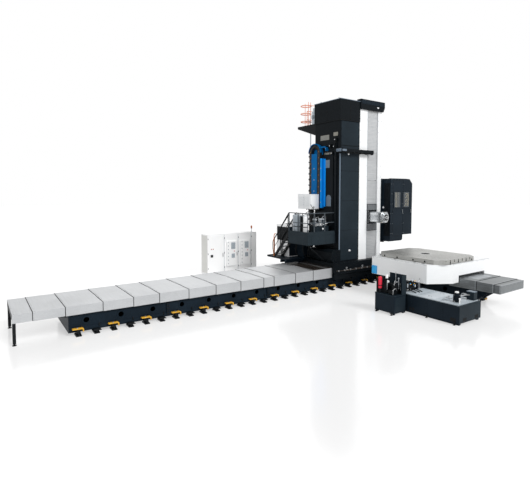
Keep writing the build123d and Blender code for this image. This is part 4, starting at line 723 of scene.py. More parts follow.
# Ram: ground way strips with oil grooves, screw rows, nose ring with drive keys, and coolant nozzles
strips = slabs(
    0.0001,
    *[(*sorted((side * 0.29, side * 0.2902)), -2.03, -1.24, z0, z0 + 0.09) for side in SIDES for z0 in (3.49, 3.86)],
    *[(x0, x0 + 0.09, -2.03, -1.24, *sorted((SPINDLE_Z + side * 0.29, SPINDLE_Z + side * 0.2902))) for side in SIDES
      for x0 in (-0.23, 0.14)])
piece("ram_way_strips", strips, bright_steel_and_highlight, body="ram")
grooves = slabs(
    0.0002,
    *[(*sorted((side * 0.2895, side * 0.29025)), y, y + 0.012, z0 + 0.01, z0 + 0.08) for side in SIDES
      for z0 in (3.49, 3.86) for y in np.arange(-1.98, -1.3, 0.11)])
piece("ram_oil_grooves", grooves, rubber, slot="ram_steel", body="ram")
side_plate = joined(slab(-0.2902, -0.289, -1.95, -1.32, 3.615, 3.825, edge=0.0003),
                    slab(-0.12, 0.12, -1.95, -1.32, 4.009, 4.0102, edge=0.0001))
piece("ram_side_covers", side_plate, ground_steel, body="ram")
piece("ram_side_screws",
      screws(0.013, "-x", [(-0.2925, y, z) for y in np.arange(-1.92, -1.3, 0.148) for z in (3.632, 3.808)]), zinc,
      body="ram")
shoulder = facing(turning([(0.285, 0), (0.285, 0.03), (0.277, 0.04), (0.271, 0.04)], 48), "-y")
piece("ram_nose_ring", moved(shoulder, (0, RAM_FRONT, SPINDLE_Z)), bright_steel_and_highlight, body="ram")
angles = np.linspace(0, 2 * np.pi, 17)[:16]
piece("ram_nose_screws",
      screws(0.013, "-y", [(0.278 * math.cos(a), -2.089, SPINDLE_Z + 0.278 * math.sin(a)) for a in angles]),
      black_oxide, body="ram")
front_screws = ([(sx * 0.245, RAM_FRONT, SPINDLE_Z + sz * 0.245) for sx in SIDES for sz in SIDES]
                + [(sx * 0.262, RAM_FRONT, SPINDLE_Z + sz * 0.205) for sx in SIDES for sz in SIDES])
piece("ram_front_screws", screws(0.02, "-y", front_screws), black_oxide, body="ram")
nozzle = facing(turning([(0.016, 0), (0.016, 0.03), (0.011, 0.04), (0.011, 0.055), (0.004, 0.06)], 10), "-y")
piece("ram_coolant_nozzles", copies(
    nozzle, [(sx * 0.225, RAM_FRONT, SPINDLE_Z - 0.262) for sx in SIDES] + [(0.0, RAM_FRONT, SPINDLE_Z + 0.278)]),
      gold_anodised_and_glint, slot="way_steel", body="ram")
mill_ring = facing(turning([(0.198, 0), (0.192, 0.007), (0.178, 0.007), (0.174, 0.0)], 40), "-y")
piece("milling_face_ring", moved(mill_ring, (0, -2.19, SPINDLE_Z)), bright_steel_and_highlight, body="milling_spindle")
keys = slabs(0.003, *[(sx * 0.145 - 0.026, sx * 0.145 + 0.026, -2.212, -2.189, 3.695, 3.745) for sx in SIDES])
piece("milling_drive_keys", keys, ground_steel, body="milling_spindle")
piece("milling_face_screws", screws(
    0.016, "-y", [
        (0.16 * math.cos(a), -2.19, SPINDLE_Z + 0.16 * math.sin(a))
        for a in np.radians((35, 75, 105, 145, 215, 255, 285, 325))]), black_oxide, body="milling_spindle")
bore_lip = facing(turning([(0.098, 0), (0.094, 0.006), (0.062, 0.006), (0.056, 0.0)], 36), "-y")
piece("boring_face_lip", moved(bore_lip, (0, -2.23, SPINDLE_Z)), bright_steel_and_highlight, body="boring_spindle")
piece("boring_drive_keys", slabs(
    0.002,
    *[(-0.012, 0.012, -2.243, -2.229, SPINDLE_Z + s * 0.074 - 0.014, SPINDLE_Z + s * 0.074 + 0.014) for s in SIDES]),
      black_oxide, body="boring_spindle")
drawbar = facing(turning([(0.05, -0.14), (0.05, -0.135), (0.02, -0.13), (0.001, -0.13)], 24), "-y")
piece("boring_taper_end", moved(drawbar, (0, -2.23, SPINDLE_Z)), rubber, slot="way_steel", body="boring_spindle")

# Cable arm: hoses hung under it, straps round it and a pale fitting at its root
arm_hoses = joined(
    *[pipe([(-2.5, y, 7.17), (-1.9, y, 7.15), (-1.2, y, 7.16), (-0.5, y, 7.16), (-0.23, y, 7.175)], 0.022, 8, 0.2)
      for y in (-1.4, -1.36, -1.32)])
piece("arm_hoses", arm_hoses, rubber)
piece("arm_straps",
      slabs(0.006, *[(x, x + 0.05, -1.448, -1.272, 7.12, 7.36) for x in (-2.3, -1.75, -1.2, -0.7, -0.28)]),
      black_paint)
piece("arm_root_fitting", joined(
    slab(-2.66, -2.638, -1.42, -1.06, 7.2, 7.36, round_by=0.02, edge=0.005),
    slab(-2.6, -2.3, -1.46, -1.438, 7.22, 7.33, edge=0.006),
    copies(facing(turning([(0.035, 0), (0.035, 0.03), (0.02, 0.05)], 12), "-x"),
           [(-2.66, y, 7.28) for y in (-1.36, -1.24, -1.12)])), pale_slate_and_highlight, slot="unit_paint_grey")

# Blue channel covers with catches and hinges; a blue plate, rim and bracket round the chain's arch; the chain's
# links, rollers and clips
far_cover = slab(-2.72, COLUMN_LEFT, 0.391, 0.83, 4.23, 7.2, edge=0.006)
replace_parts(piece("channel_cover_far", far_cover, blue_paint), "cable_channels")
piece("channel_cover_near", joined(
    slab(-2.69, COLUMN_LEFT, 0.03, 0.146, 4.23, 6.93, edge=0.006), slab(-2.54, COLUMN_LEFT, -0.12, 0.03, 4.3, 6.9)),
      bright_blue_paint)
catches = slabs(
    0.004,
    *[(x - 0.014, x, y - 0.02, y + 0.02, z, z + 0.06) for x, y in ((-2.69, 0.09), (-2.72, 0.61))
      for z in np.arange(4.5, 6.9, 0.62)])
piece("channel_catches", catches, zinc)
hinges = slabs(
    0.004,
    *[(-2.73, -2.7, y - 0.012, y + 0.012, z, z + 0.16) for y in (0.395, 0.83) for z in np.arange(4.4, 6.9, 0.78)])
piece("channel_hinges", hinges, blue_paint)
arc = np.linspace(0, np.pi, 19)
ring_line = [(0.602 + 0.5 * math.cos(a), 7.26 + 0.5 * math.sin(a)) for a in arc] + [(0.102, 7.14), (1.102, 7.14)]
piece("arch_back_plate", loft([np.column_stack([np.full(21, x), np.array(ring_line)]) for x in (-2.54, -2.522)]),
      blue_paint)
rim_line = [(0.602 + r * math.cos(a), 7.26 + r * math.sin(a)) for r, turn in ((0.505, 1), (0.47, -1))
            for a in (arc if turn > 0 else arc[::-1])]
piece("arch_rim", loft([np.column_stack([np.full(38, x), np.array(rim_line)]) for x in (-2.72, -2.54)]), blue_paint)
piece("arch_bracket",
      slabs(0.005, (-2.7, COLUMN_LEFT, -0.32, 0.1, 7.5, 7.56), (-2.7, COLUMN_LEFT, -0.32, -0.26, 7.3, 7.56)),
      blue_paint)
plate = joined(
    slab(-2.693, -2.681, -0.1, 0.1, -0.055, 0.045, round_by=0.03, edge=0.003),
    slab(-2.7, -2.683, -0.03, 0.03, -0.02, 0.02))
straight = [(0.2685, z) for z in np.arange(4.3, 7.25, 0.115)] + [(0.936, z) for z in np.arange(3.08, 7.25, 0.115)]
links = [moved(plate, (0, y, z)) for y, z in straight]
for a in np.linspace(0.12, np.pi - 0.12, 11):
    points, corners, sizes = plate
    y, z = (points[:, 1] * math.cos(a) - points[:, 2] * math.sin(a),
            points[:, 1] * math.sin(a) + points[:, 2] * math.cos(a))
    links.append(
        (np.column_stack([points[:, 0], 0.602 + y + 0.334 * math.cos(a), 7.26 + z + 0.334 * math.sin(a)]), corners,
         sizes))
piece("chain_links", joined(*links), polyamide)
bumps = [(1.036, z) for z in np.arange(3.2, 7.2, 0.32)]
piece("chain_rollers", slabs(0.012, *[(-2.72, -2.54, y, y + 0.055, z, z + 0.09) for y, z in bumps]), polyamide)
piece("chain_clips", slabs(
    0.004,
    *[(-2.712, -2.69, y - 0.025, y + 0.03, z, z + 0.05) for y in (0.2685, 0.95) for z in np.arange(4.4, 7.3, 0.32)]),
      copper_clip)

# Tool magazine: window frames, gold rails and pale shapes behind the glass that paint the tools' glints, seams, hinges,
# handles, screws, the side's panel and lamp, the support below, and the motor and ribs on the roof
frames = joined(
    frame_of(1.155, 1.765, 4.195, 5.125, 0.035, 0.012, -1.768),
    frame_of(1.995, 2.545, 4.195, 5.125, 0.035, 0.012, -1.768))
piece("window_frames", frames, housing_paint)
piece("window_rails", slabs(0.002, *[(x, x + 0.013, -1.776, -1.766, 4.24, 5.07) for x in (1.3, 1.37, 1.5)]),
      gold_anodised_and_glint)
# Pale bent pipes behind the second window: painted glints of the tools inside
shapes = joined(
    *[pipe([(2.1 + 0.24 * t, -1.774, z), (2.2 + 0.2 * t, -1.776, z + 0.08), (2.36, -1.774, z + 0.03 + 0.05 * t)],
           0.009, 6)
      for t, z in ((0.0, 4.3), (0.3, 4.4), (0.1, 4.52), (0.5, 4.62), (0.2, 4.75), (0.6, 4.86), (0.3, 4.95))],
    pipe([(2.38, -1.774, 5.02), (2.42, -1.776, 4.7), (2.4, -1.774, 4.3)], 0.012, 6))
piece("window_tool_glints", shapes, gold_anodised_and_glint)
piece("magazine_door_seams", slabs(
    0.001, (1.09, 1.102, -1.754, -1.749, 2.6, 5.75), (1.09, 1.95, -1.754, -1.749, 5.74, 5.752),
    (1.09, 1.95, -1.754, -1.749, 2.6, 2.612), (0.876, 0.884, -1.0, -0.98, 2.4, 5.8)), rubber,
      slot="magazine_paint_dark")
piece("magazine_hinges", copies(
    facing(turning([(0.012, -0.06), (0.014, -0.058), (0.014, 0.058), (0.012, 0.06)], 10), "+z"),
    [(x, -1.758, z) for x in (1.075, 2.76) for z in (3.0, 4.0, 5.3)]), black_oxide)
handle = pipe([(0, 0, -0.09), (0, -0.045, -0.09), (0, -0.045, 0.09), (0, 0, 0.09)], 0.01, 8, 0.03)
piece("magazine_handles", copies(handle, [(1.9, MAGAZINE_FRONT, 4.0), (2.66, MAGAZINE_FRONT, 4.0)]), zinc)
piece("magazine_screws", screws(
    0.014, "-y",
    [(x, MAGAZINE_FRONT, z) for x in (0.92, 1.05, 1.93, 2.03, 2.77) for z in np.arange(2.75, 5.6, 0.56)]), zinc)
recess_bars = slabs(
    0.003, (0.872, 0.88, -1.72, -1.3, 2.6, 5.6), (0.862, 0.874, -1.5, -1.47, 2.7, 5.5),
    (0.862, 0.874, -1.36, -1.33, 2.7, 5.5))
piece("magazine_side_panel", recess_bars, column_paint, slot="magazine_paint_dark")
piece("magazine_side_lamp",
      moved(facing(turning([(0.06, 0), (0.06, 0.03), (0.045, 0.05), (0.001, 0.055)], 18), "-x"), (0.88, -1.27, 4.22)),
      white_paint)
piece("magazine_support", joined(
    slab(0.9, 1.9, -1.2, 0.2, 2.26, 2.322, edge=0.01),
    *[slab(x, x + 0.05, -1.1, 0.1, 2.2, 2.27, edge=0.006) for x in (1.1, 1.6)]), column_paint,
      slot="magazine_paint_dark")
top_motor = turning([(0.12, 0), (0.12, 0.02), (0.1, 0.03), (0.1, 0.2), (0.085, 0.22), (0.001, 0.225)])
piece("magazine_top_motor", copies(top_motor, [(1.5, -0.4, 5.85)]), mid_grey_paint)
piece("magazine_roof_ribs", slabs(0.004, *[(0.95, 2.5, y, y + 0.03, 5.848, 5.87) for y in (-1.6, -0.9, -0.1, 0.25)]),
      housing_paint)

# Service platform: tread studs, toe boards, railing feet, gas bottles with valves, and the power pack's fittings
studs = slab(-0.035, 0.035, -0.005, 0.005, 0, 0.004, edge=0.0015)
spots = grid(np.arange(-4.36, -2.58, 0.12), np.arange(-0.82, 0.64, 0.12), [2.969])
piece("deck_studs", copies(studs, spots, [(0.785, -0.785)[i % 2] for i in range(len(spots))]), zinc)
deck_edge = slabs(0.003, (-4.46, -2.53, -0.912, -0.9, 2.86, 3.05), (-4.462, -4.45, -0.91, 0.7, 2.86, 3.05))
piece("deck_toe_boards", deck_edge, skirt_paint)
piece("deck_skirt_stiffeners", joined(
    *[slab(x, x + 0.04, -0.909, -0.9, 2.4, 2.85, edge=0.003) for x in np.arange(-4.2, -2.6, 0.5)],
    slab(-4.44, -2.53, -0.915, -0.9, 2.37, 2.41), slab(-4.465, -4.45, -0.9, 0.69, 2.37, 2.41)), skirt_paint)
posts = [(-2.55, -0.87), (-3.27, -0.87), (-3.99, -0.87), (-4.42, -0.87), (-4.42, -0.1), (-4.42, 0.67)]
foot = joined(
    slab(-0.06, 0.06, -0.045, 0.045, 0, 0.012, edge=0.003),
    copies(hex_screw(0.012), [(x, y, 0.01) for x in (-0.042, 0.042) for y in (-0.028, 0.028)]))
piece("railing_feet", copies(foot, [(x, y, DECK_TOP) for x, y in posts]), black_paint, slot="frame_paint_black")
piece("railing_tubes", joined(
    *[pipe([(-2.55, -0.87, z), (-4.42, -0.87, z), (-4.42, 0.67, z)], 0.0235, 10, 0.12) for z in (3.495, 3.999)],
    copies(turning([(0.026, 0), (0.026, 1.03), (0.018, 1.05)], 10), [(x, y, DECK_TOP) for x, y in posts])),
      rail_paint)
shell = turning(
    [(0.09, 0), (0.0985, 0.015), (0.0985, 0.86), (0.09, 0.885), (0.06, 0.905), (0.032, 0.912), (0.03, 0.95),
     (0.001, 0.952)], 24)
for n, (y, finish) in enumerate(
        zip((0.57, 0.352, 0.134, -0.084, -0.302),
            (grey_paint, grille_plastic, mid_grey_paint, black_paint, white_paint))):
    piece(f"gas_bottle_{n + 1}", moved(shell, (-4.13, y, DECK_TOP)), finish, slot="unit_paint_grey")
bottle_tops = joined(
    turning([(0.018, 0.95), (0.018, 1.0), (0.03, 1.003), (0.03, 1.02), (0.001, 1.022)], 10),
    pipe([(0, 0, 0.98), (0.05, 0, 0.98), (0.05, 0, 0.93)], 0.008, 6, 0.02))
piece("gas_bottle_valves", copies(bottle_tops, [(-4.13, y, DECK_TOP) for y in (0.57, 0.352, 0.134, -0.084, -0.302)]),
      zinc)
bands = slab(-4.24, -4.02, -0.42, 0.68, 3.25, 3.285, round_by=0.05)
piece("gas_bottle_bands", bands, black_paint, slot="frame_paint_black")

fins = joined(
    *[turning([(0.106, z), (0.113, z + 0.003), (0.113, z + 0.009), (0.106, z + 0.012)])
      for z in np.arange(0.03, 0.27, 0.024)])
piece("pump_motor_fins", copies(fins, [(x, -0.37, 3.3) for x in (-3.52, -3.15, -2.9)]), mid_grey_paint)
cap = turning([(0.108, 0.0), (0.112, 0.01), (0.112, 0.06), (0.09, 0.085), (0.001, 0.09)])
piece("pump_motor_caps", copies(cap, [(x, -0.37, 3.6) for x in (-3.52, -3.15, -2.9)]), grey_paint)
block_row = [
    slab(x, x + 0.11, -0.6, -0.48, 3.3, 3.3 + h, edge=0.008)
    for x, h in ((-3.66, 0.2), (-3.4, 0.3), (-3.27, 0.16), (-3.02, 0.24))]
valve_row = [
    moved(turned_axes(turning([(0.03, -0.12), (0.035, -0.11), (0.035, 0.02), (0.02, 0.03)], 12), "x"), (x, -0.64, z))
    for x, z in ((-3.5, 3.36), (-3.5, 3.44), (-3.1, 3.38), (-2.9, 3.42))]
piece("pack_valve_blocks", joined(*block_row, *valve_row), zinc)
pack_lines = [
    [(-3.6, -0.54, 3.5), (-3.6, -0.54, 3.75), (-3.35, -0.5, 3.78), (-3.35, -0.5, 3.6)],
    [(-3.0, -0.54, 3.52), (-3.0, -0.6, 3.68), (-3.25, -0.6, 3.7), (-3.25, -0.56, 3.44)],
    [(-2.95, -0.3, 3.7), (-2.8, -0.3, 3.82), (-2.6, -0.2, 3.8), (-2.56, -0.2, 3.5)],
    [(-3.45, -0.2, 3.3), (-3.45, 0.1, 3.42), (-3.1, 0.2, 3.46), (-3.0, 0.2, 3.4)]]
piece("pack_lines", joined(*[pipe(run, 0.014, 8) for run in pack_lines]), zinc)
dark_lines = [
    [(-3.9, -0.5, 2.98), (-3.9, -0.55, 3.35), (-3.72, -0.55, 3.4), (-3.66, -0.5, 3.2)],
    [(-3.98, 0.2, 3.6), (-3.85, 0.15, 3.9), (-3.5, 0.0, 3.85), (-3.3, -0.1, 3.5)],
    [(-4.13, -0.3, 3.95), (-4.0, -0.4, 4.1), (-3.8, -0.45, 4.0), (-3.7, -0.4, 3.5)]]
piece("pack_hoses", joined(*[pipe(run, 0.018, 8, 0.15) for run in dark_lines]), rubber)
gauge = turning([(0.045, 0), (0.05, 0.006), (0.05, 0.03), (0.042, 0.034), (0.001, 0.033)])
piece("pack_gauges", copies(facing(gauge, "-y"), [(-3.34, -0.6, 3.4), (-3.19, -0.63, 3.16), (-3.58, -0.6, 3.42)]),
      white_paint)
piece("pack_cabinet_front",
      joined(slab(-3.0, -2.77, 0.068, 0.08, 3.0, 3.46), slab(-2.95, -2.82, 0.06, 0.07, 3.2, 3.4, edge=0.003)),
      slate_paint, slot="unit_paint_grey")
piece("pack_filler", moved(
    turning([(0.05, 0), (0.05, 0.02), (0.035, 0.03), (0.035, 0.09), (0.048, 0.095), (0.048, 0.12), (0.001, 0.125)],
            18), (-3.35, -0.22, 3.3)), black_oxide)
# Two thin bent pipes that rise in front of the terminal box
piece("riser_pipe", joined(
    pipe([(-3.5, -0.5, 3.5), (-3.52, -0.3, 4.15), (-3.4, 0.1, 4.42), (-3.3, 0.18, 4.4)], 0.013, 8, 0.25),
    pipe([(-3.42, -0.45, 3.5), (-3.45, -0.25, 4.05), (-3.25, 0.1, 4.3), (-3.05, 0.18, 4.28)], 0.013, 8, 0.25)),
      black_oxide)

# Terminal box: seams, vents and locks of its doors, glands and hoses below, and a bracket to the column
piece("terminal_box_seams", slabs(
    0.001, (-3.364, -3.359, 0.7, 0.708, 4.2, 4.95), (-3.364, -3.359, 0.23, 1.2, 4.2, 4.206),
    (-3.364, -3.359, 0.23, 1.2, 4.944, 4.95), (-3.33, -2.75, 0.196, 0.201, 4.2, 4.206),
    (-3.33, -2.75, 0.196, 0.201, 4.944, 4.95), (-3.33, -3.324, 0.196, 0.201, 4.2, 4.95)), mid_grey_paint)
piece("terminal_box_vents",
      slabs(0.002, *[(-3.366, -3.359, y, y + 0.012, 4.3, 4.85) for y in np.arange(0.28, 1.18, 0.09)]), grey_paint)
piece("terminal_box_locks", copies(
    facing(turning([(0.016, 0), (0.016, 0.008), (0.01, 0.012), (0.001, 0.012)], 14), "-x"),
    [(-3.362, 0.74, z) for z in (4.4, 4.8)]), zinc)
piece("terminal_box_glands", copies(
    turning([(0.024, -0.06), (0.03, -0.055), (0.03, 0), (0.03, 0.002)], 10),
    [(x, y, 4.17) for x in (-3.2, -3.05, -2.9) for y in (0.35, 0.5, 0.65)]), polyamide)
piece("terminal_box_bracket",
      slabs(0.006, (-2.8, -2.53, 0.25, 0.33, 4.05, 4.17), (-2.8, -2.53, 0.9, 0.98, 4.05, 4.17)), black_paint)
piece("terminal_box_hoses", joined(
    *[pipe([(x, y, 4.13), (x, y, 3.9), (x + 0.1, y - 0.12, 3.6), (x + 0.22, y - 0.2, 3.4)], 0.017, 8, 0.15)
      for x in (-3.2, -3.05) for y in (0.35, 0.5)]), rubber)

# Feed drive housing: screws and ribs of its cover; hoses, a pale line and struts below the platform
piece("drive_cover_screws",
      screws(0.018, "-y", [(x, -1.25, z) for x in (-3.0, -2.78, -2.56) for z in (1.46, 1.74, 1.98)]), black_oxide,
      slot="column_paint_black")
piece("drive_cover_ribs",
      slabs(0.004, *[(-3.125, -3.115, y, y + 0.03, 1.44, 1.86) for y in np.arange(-1.15, 0.5, 0.16)]), column_paint)
under = [[(-3.9, 0.1, 2.42), (-3.95, 0.1, 2.0), (-3.6, 0.3, 1.62), (-3.3, 0.5, 1.55), (-3.0, 0.7, 1.5)],
         [(-3.7, -0.2, 2.42), (-3.75, -0.1, 1.9), (-3.4, 0.3, 1.55), (-3.2, 0.55, 1.5)],
         [(-3.4, 0.2, 2.42), (-3.3, 0.2, 2.2), (-3.2, 0.5, 2.0), (-2.9, 0.6, 2.05), (-2.6, 0.6, 2.3)],
         [(-4.1, 0.4, 2.42), (-4.15, 0.4, 2.1), (-3.95, 0.7, 1.8), (-3.6, 0.85, 1.52)]]
piece("platform_hoses", joined(*[pipe(run, 0.026, 8, 0.25) for run in under]), rubber)
piece("platform_pale_line",
      pipe([(-3.55, -0.1, 2.4), (-3.5, 0.0, 2.15), (-3.2, 0.3, 2.05), (-2.7, 0.5, 2.1)], 0.011, 8, 0.3), zinc)
struts = joined(
    pipe([(-4.4, -0.75, 2.42), (-3.1, -0.75, 1.42)], 0.03, 8),
    *[slab(-4.42, -2.53, y, y + 0.05, 2.33, 2.4, edge=0.005) for y in (-0.82, 0.58)])
piece("platform_struts", struts, black_paint, slot="frame_paint_black")

# Stair: nosings, tread bars and handrails; screws of the ladder's brackets; cage bars and stays; rails of the top
# platform; fins, box and hub screws of the lift motor
steps = [(0.7 + (n - 0.75) * 0.21, 2.97 - n * 0.226) for n in range(1, 7)]
piece("stair_nosings", slabs(0.003, *[(-4.42, -3.914, y - 0.006, y + 0.012, z + 0.004, z + 0.04) for y, z in steps]),
      zinc)
piece("stair_tread_bars", slabs(
    0.001,
    *[(-4.41 + i * 0.06, -4.395 + i * 0.06, y + 0.01, y + 0.165, z + 0.03, z + 0.036) for y, z in steps
      for i in range(9)]), zinc)
piece("stair_handrails", joined(
    *[pipe([(x, 0.67, 3.99), (x, 0.76, 3.9), (x, 2.08, 2.4), (x, 2.14, 2.3), (x, 2.14, 1.9), (x, 2.05, 1.55)], 0.022,
           10, 0.1) for x in (-4.435, -3.9)],
    *[pipe([(x, 0.7, 3.42), (x, 2.06, 1.95)], 0.016, 8) for x in (-4.435, -3.9)]), black_paint,
      slot="frame_paint_black")
piece("ladder_bracket_screws", copies(
    facing(hex_screw(0.02), "+y"), [(-1.4 + side * 0.21, 0.97, z + 0.1) for side in SIDES for z in (2.6, 5.0, 7.4)]),
      zinc)
angles6 = 2 * np.pi * (np.arange(6) + 0.5) / 6
hoop_at = [(math.cos(a) * 0.297, math.sin(a) * 0.297) for a in np.linspace(0, 2 * np.pi, 33)]
hoops = [pipe([(-2.25 + x, 1.88 + y, z) for x, y in hoop_at], 0.026, 8, 0.001) for z in (9.17, 9.62, 10.07)]
bars = [pipe([(-2.25 + 0.28 * math.cos(a), 1.88 + 0.28 * math.sin(a), z) for z in (8.9, 10.27)], 0.016, 8)
        for a in np.radians((-100, -60, -20, 20, 60))]
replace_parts(piece("cage_bars", joined(*hoops, *bars), red_paint), "ladder_cage")
piece("cage_stays", joined(
    pipe([(-2.25, 1.6, 10.08), (-2.2, 0.8, 9.9)], 0.018, 8), pipe([(-2.0, 1.72, 9.18), (-1.9, 1.2, 8.93)], 0.018, 8),
    pipe([(-2.5, 1.72, 9.18), (-2.5, 1.2, 8.93)], 0.018, 8)), red_paint)
piece("top_deck_rails", joined(
    *[pipe([(-1.02, 0.85, z), (-1.02, 2.27, z), (-1.85, 2.27, z)], 0.019, 8) for z in (9.4, 9.9)],
    *[pipe([(x, y, 8.9), (x, y, 9.9)], 0.019, 8)
      for x, y in ((-1.02, 0.87), (-1.02, 1.6), (-1.04, 2.26), (-1.83, 2.27))]), red_paint)
fins = joined(
    *[turning([(0.198, z), (0.208, z + 0.004), (0.208, z + 0.012), (0.198, z + 0.016)], 24)
      for z in np.arange(0.05, 0.68, 0.045)])
piece("lift_motor_fins", moved(fins, (-2.3, 0.9903, 8.9)), grille_plastic)
piece("lift_motor_box", slab(-2.56, -2.49, 0.92, 1.06, 9.2, 9.4, edge=0.01), mid_grey_paint)
piece("lift_hub_screws",
      copies(hex_screw(0.018), [(-2.3 + 0.12 * math.cos(a), 0.9903 + 0.12 * math.sin(a), 9.798) for a in angles6]),
      zinc)

# Rear console: chiller grilles, doors, fan and pipes; drive cabinet door; the console's edge, pole and rail
grille_lines = [slab(-3.862, -3.85, 1.52, 2.5, z, z + 0.016, edge=0.003) for z in np.arange(2.36, 3.1, 0.045)]
piece("chiller_side_grille", joined(*grille_lines), black_paint, slot="unit_paint_grey")
piece("chiller_grille_back", slab(-3.855, -3.849, 1.5, 2.52, 2.34, 3.12, edge=0.002), black_paint,
      slot="unit_paint_grey")
piece("chiller_door", slab(-3.83, -2.67, 1.409, 1.421, 1.5, 3.15, edge=0.003), housing_paint, slot="unit_paint_grey")
piece("chiller_side_door", slab(-3.858, -3.85, 1.5, 2.52, 1.55, 2.28, edge=0.003), white_paint,
      slot="unit_paint_grey")
piece("chiller_door_gap",
      slabs(0.001, (-3.255, -3.247, 1.405, 1.41, 1.6, 3.1), (-3.861, -3.857, 2.0, 2.008, 1.58, 2.25)), rubber,
      slot="way_steel")
piece("chiller_fan", copies(
    joined(*[turning([(r, 0), (r + 0.014, 0.004), (r + 0.014, 0.012), (r, 0.014)], 32)
             for r in (0.06, 0.13, 0.2, 0.27, 0.34)]), [(-3.25, 2.0, 3.248)]), black_oxide)
piece("drive_cabinet_door",
      slabs(0.003, (-3.24, -2.66, 1.339, 1.35, 1.55, 2.75), (-3.309, -3.3, 0.86, 1.28, 1.55, 2.75)), housing_paint,
      slot="cast_paint_dark")
piece("console_edge", slabs(0.004, (-4.51, -4.49, 0.76, 2.6, 1.455, 1.5), (-4.5, -1.11, 2.585, 2.605, 1.455, 1.5)),
      black_paint, slot="frame_paint_black")
piece("guard_pole", joined(
    pipe([(-4.46, 2.0, 1.46), (-4.46, 2.0, 2.62), (-4.46, 1.96, 2.74), (-4.44, 1.86, 2.78)], 0.024),
    moved(turning([(0.05, 0), (0.05, 0.012), (0.024, 0.02)], 14), (-4.46, 2.0, 1.46))), orange_paint)
piece("console_rail", joined(
    pipe([(-2.5, 2.55, 1.46), (-2.5, 2.55, 2.5), (-1.15, 2.55, 2.5), (-1.15, 2.55, 1.46)], 0.021, 8, 0.08),
    *[pipe([(x, 2.57, 1.46), (x, 2.57, 2.5)], 0.018, 8) for x in (-2.55, -1.9)]), black_paint,
      slot="frame_paint_black")
piece("chiller_pipes", joined(
    *[pipe([(-3.6 + i * 0.12, 1.45, 3.24), (-3.6 + i * 0.12, 1.3, 3.4), (-3.5 + i * 0.12, 1.0, 3.3),
            (-3.2 + i * 0.1, 0.9, 2.84)], 0.02, 8, 0.15) for i in range(3)]), rubber)

# Rotary table: pale bore ring, edge holes as dark discs of painted shade, joint line, clamp plugs, bright slot edges as
# painted highlight, slot ends dark with painted shade, and the seal below
bore_ring = turning([(0.228, 0.0), (0.232, 0.003), (0.262, 0.003), (0.266, 0.0)], 48)
piece("table_bore_ring", moved(bore_ring, (0, TABLE_Y, TABLE_TOP)), bright_steel_and_highlight, slot="table_iron", body="table")
# Holes in the table's edge drawn as flat dark discs: painted shade
pockets = [(-1.5, y, 1.935) for y in (-5.62, -5.0, -4.1, -3.35)]
pocket = turning([(0.045, 0), (0.042, 0.002), (0.001, 0.002)], 18)
piece("table_edge_hole_shade", joined(
    copies(facing(pocket, "-x"), pockets),
    copies(facing(pocket, "-y"), [(x, -6.45, 1.92) for x in (-0.8, -0.16, 0.48, 0.96)])), rubber, slot="table_iron",
      body="table")
piece("table_joint_line",
      slabs(0.001, (-1.502, -1.499, -6.06, -3.2, 1.872, 1.88), (-1.11, 1.11, -6.452, -6.449, 1.872, 1.88)), rubber,
      slot="table_iron", body="table")
rim_screws = [(side * 1.4, y, TABLE_TOP) for side in SIDES for y in np.arange(-5.9, -3.3, 0.5)]
piece("table_clamp_plugs", copies(turning([(0.02, 0), (0.02, 0.002), (0.001, 0.002)], 12), rim_screws), black_oxide,
      slot="table_iron", body="table")
# Bright strips on the slots' chamfered edges: a painted highlight
slot_edges = slabs(
    0.0005,
    *[((n - 3.5) * 0.32 + side * 0.0185 - 0.0015, (n - 3.5) * 0.32 + side * 0.0185 + 0.0015,
       -6.44 if n not in (0, 7) else -6.2, -2.82, 2.049, 2.0515) for n in range(8) for side in SIDES])
piece("table_slot_chamfer_highlights", slot_edges, bright_steel_and_highlight, slot="table_iron", body="table")
# Dark T shapes on the front face where the slots open: painted shade inside them
ends = [slab(x - half, x + half, -6.4512, -6.4495, z0, z1, edge=0.0005) for x in (np.arange(1, 7) - 3.5) * 0.32
        for half, z0, z1 in ((0.02, 1.94, 2.049), (0.034, 1.935, 1.97))]
piece("table_slot_end_shade", joined(*ends), rubber, slot="table_iron", body="table")
boss_ring = turning([(0.802, 0.0), (0.815, 0.004), (0.815, 0.03), (0.802, 0.034)], 48)
piece("turntable_seal", moved(boss_ring, (0, TABLE_Y, 1.79)), rubber, slot="table_iron", body="table")

# Guard of the table: screws, top seal, dark clamps on its edge, the blue box and the rim of its opening
piece("guard_screws", joined(
    screws(0.013, "-x", [(-1.8, y, z) for y in np.arange(-5.8, -2.85, 0.48) for z in (1.02, 1.81)]),
    screws(0.013, "-y", [(x, -6.55, 1.81) for x in np.arange(-0.7, 2.4, 0.5)])), zinc, body="table_slide")
piece("guard_top_seal",
      slabs(0.002, (-1.79, -1.75, -5.9, -2.84, 1.843, 1.848), (-0.7, 2.4, -6.54, -6.5, 1.843, 1.848)), mid_grey_paint,
      slot="pillar_paint_white", body="table_slide")
piece("guard_edge_clamps", slabs(
    0.002, *[(-1.62, -1.53, y, y + 0.13, 1.843, 1.849) for y in (-5.66, -5.2, -4.1)],
    (-0.9, -0.78, -6.5, -6.46, 1.843, 1.849)), black_oxide, slot="column_paint_black", body="table_slide")
piece("junction_box", slab(-1.86, -1.8, -3.14, -2.84, 1.01, 1.41, round_by=0.02, edge=0.008), light_blue_paint,
      body="table_slide")
piece("junction_box_screws", screws(0.012, "-x", [(-1.86, y, z) for y in (-3.11, -2.87) for z in (1.04, 1.38)]), zinc,
      body="table_slide")
piece("guard_opening_rim", slabs(
    0.002, (-0.27, -0.25, -6.556, -6.549, 0.99, 1.3), (1.91, 1.93, -6.556, -6.549, 0.99, 1.3),
    (-0.27, 1.93, -6.556, -6.549, 1.28, 1.3)), black_oxide, slot="cover_dark_steel", body="table_slide")


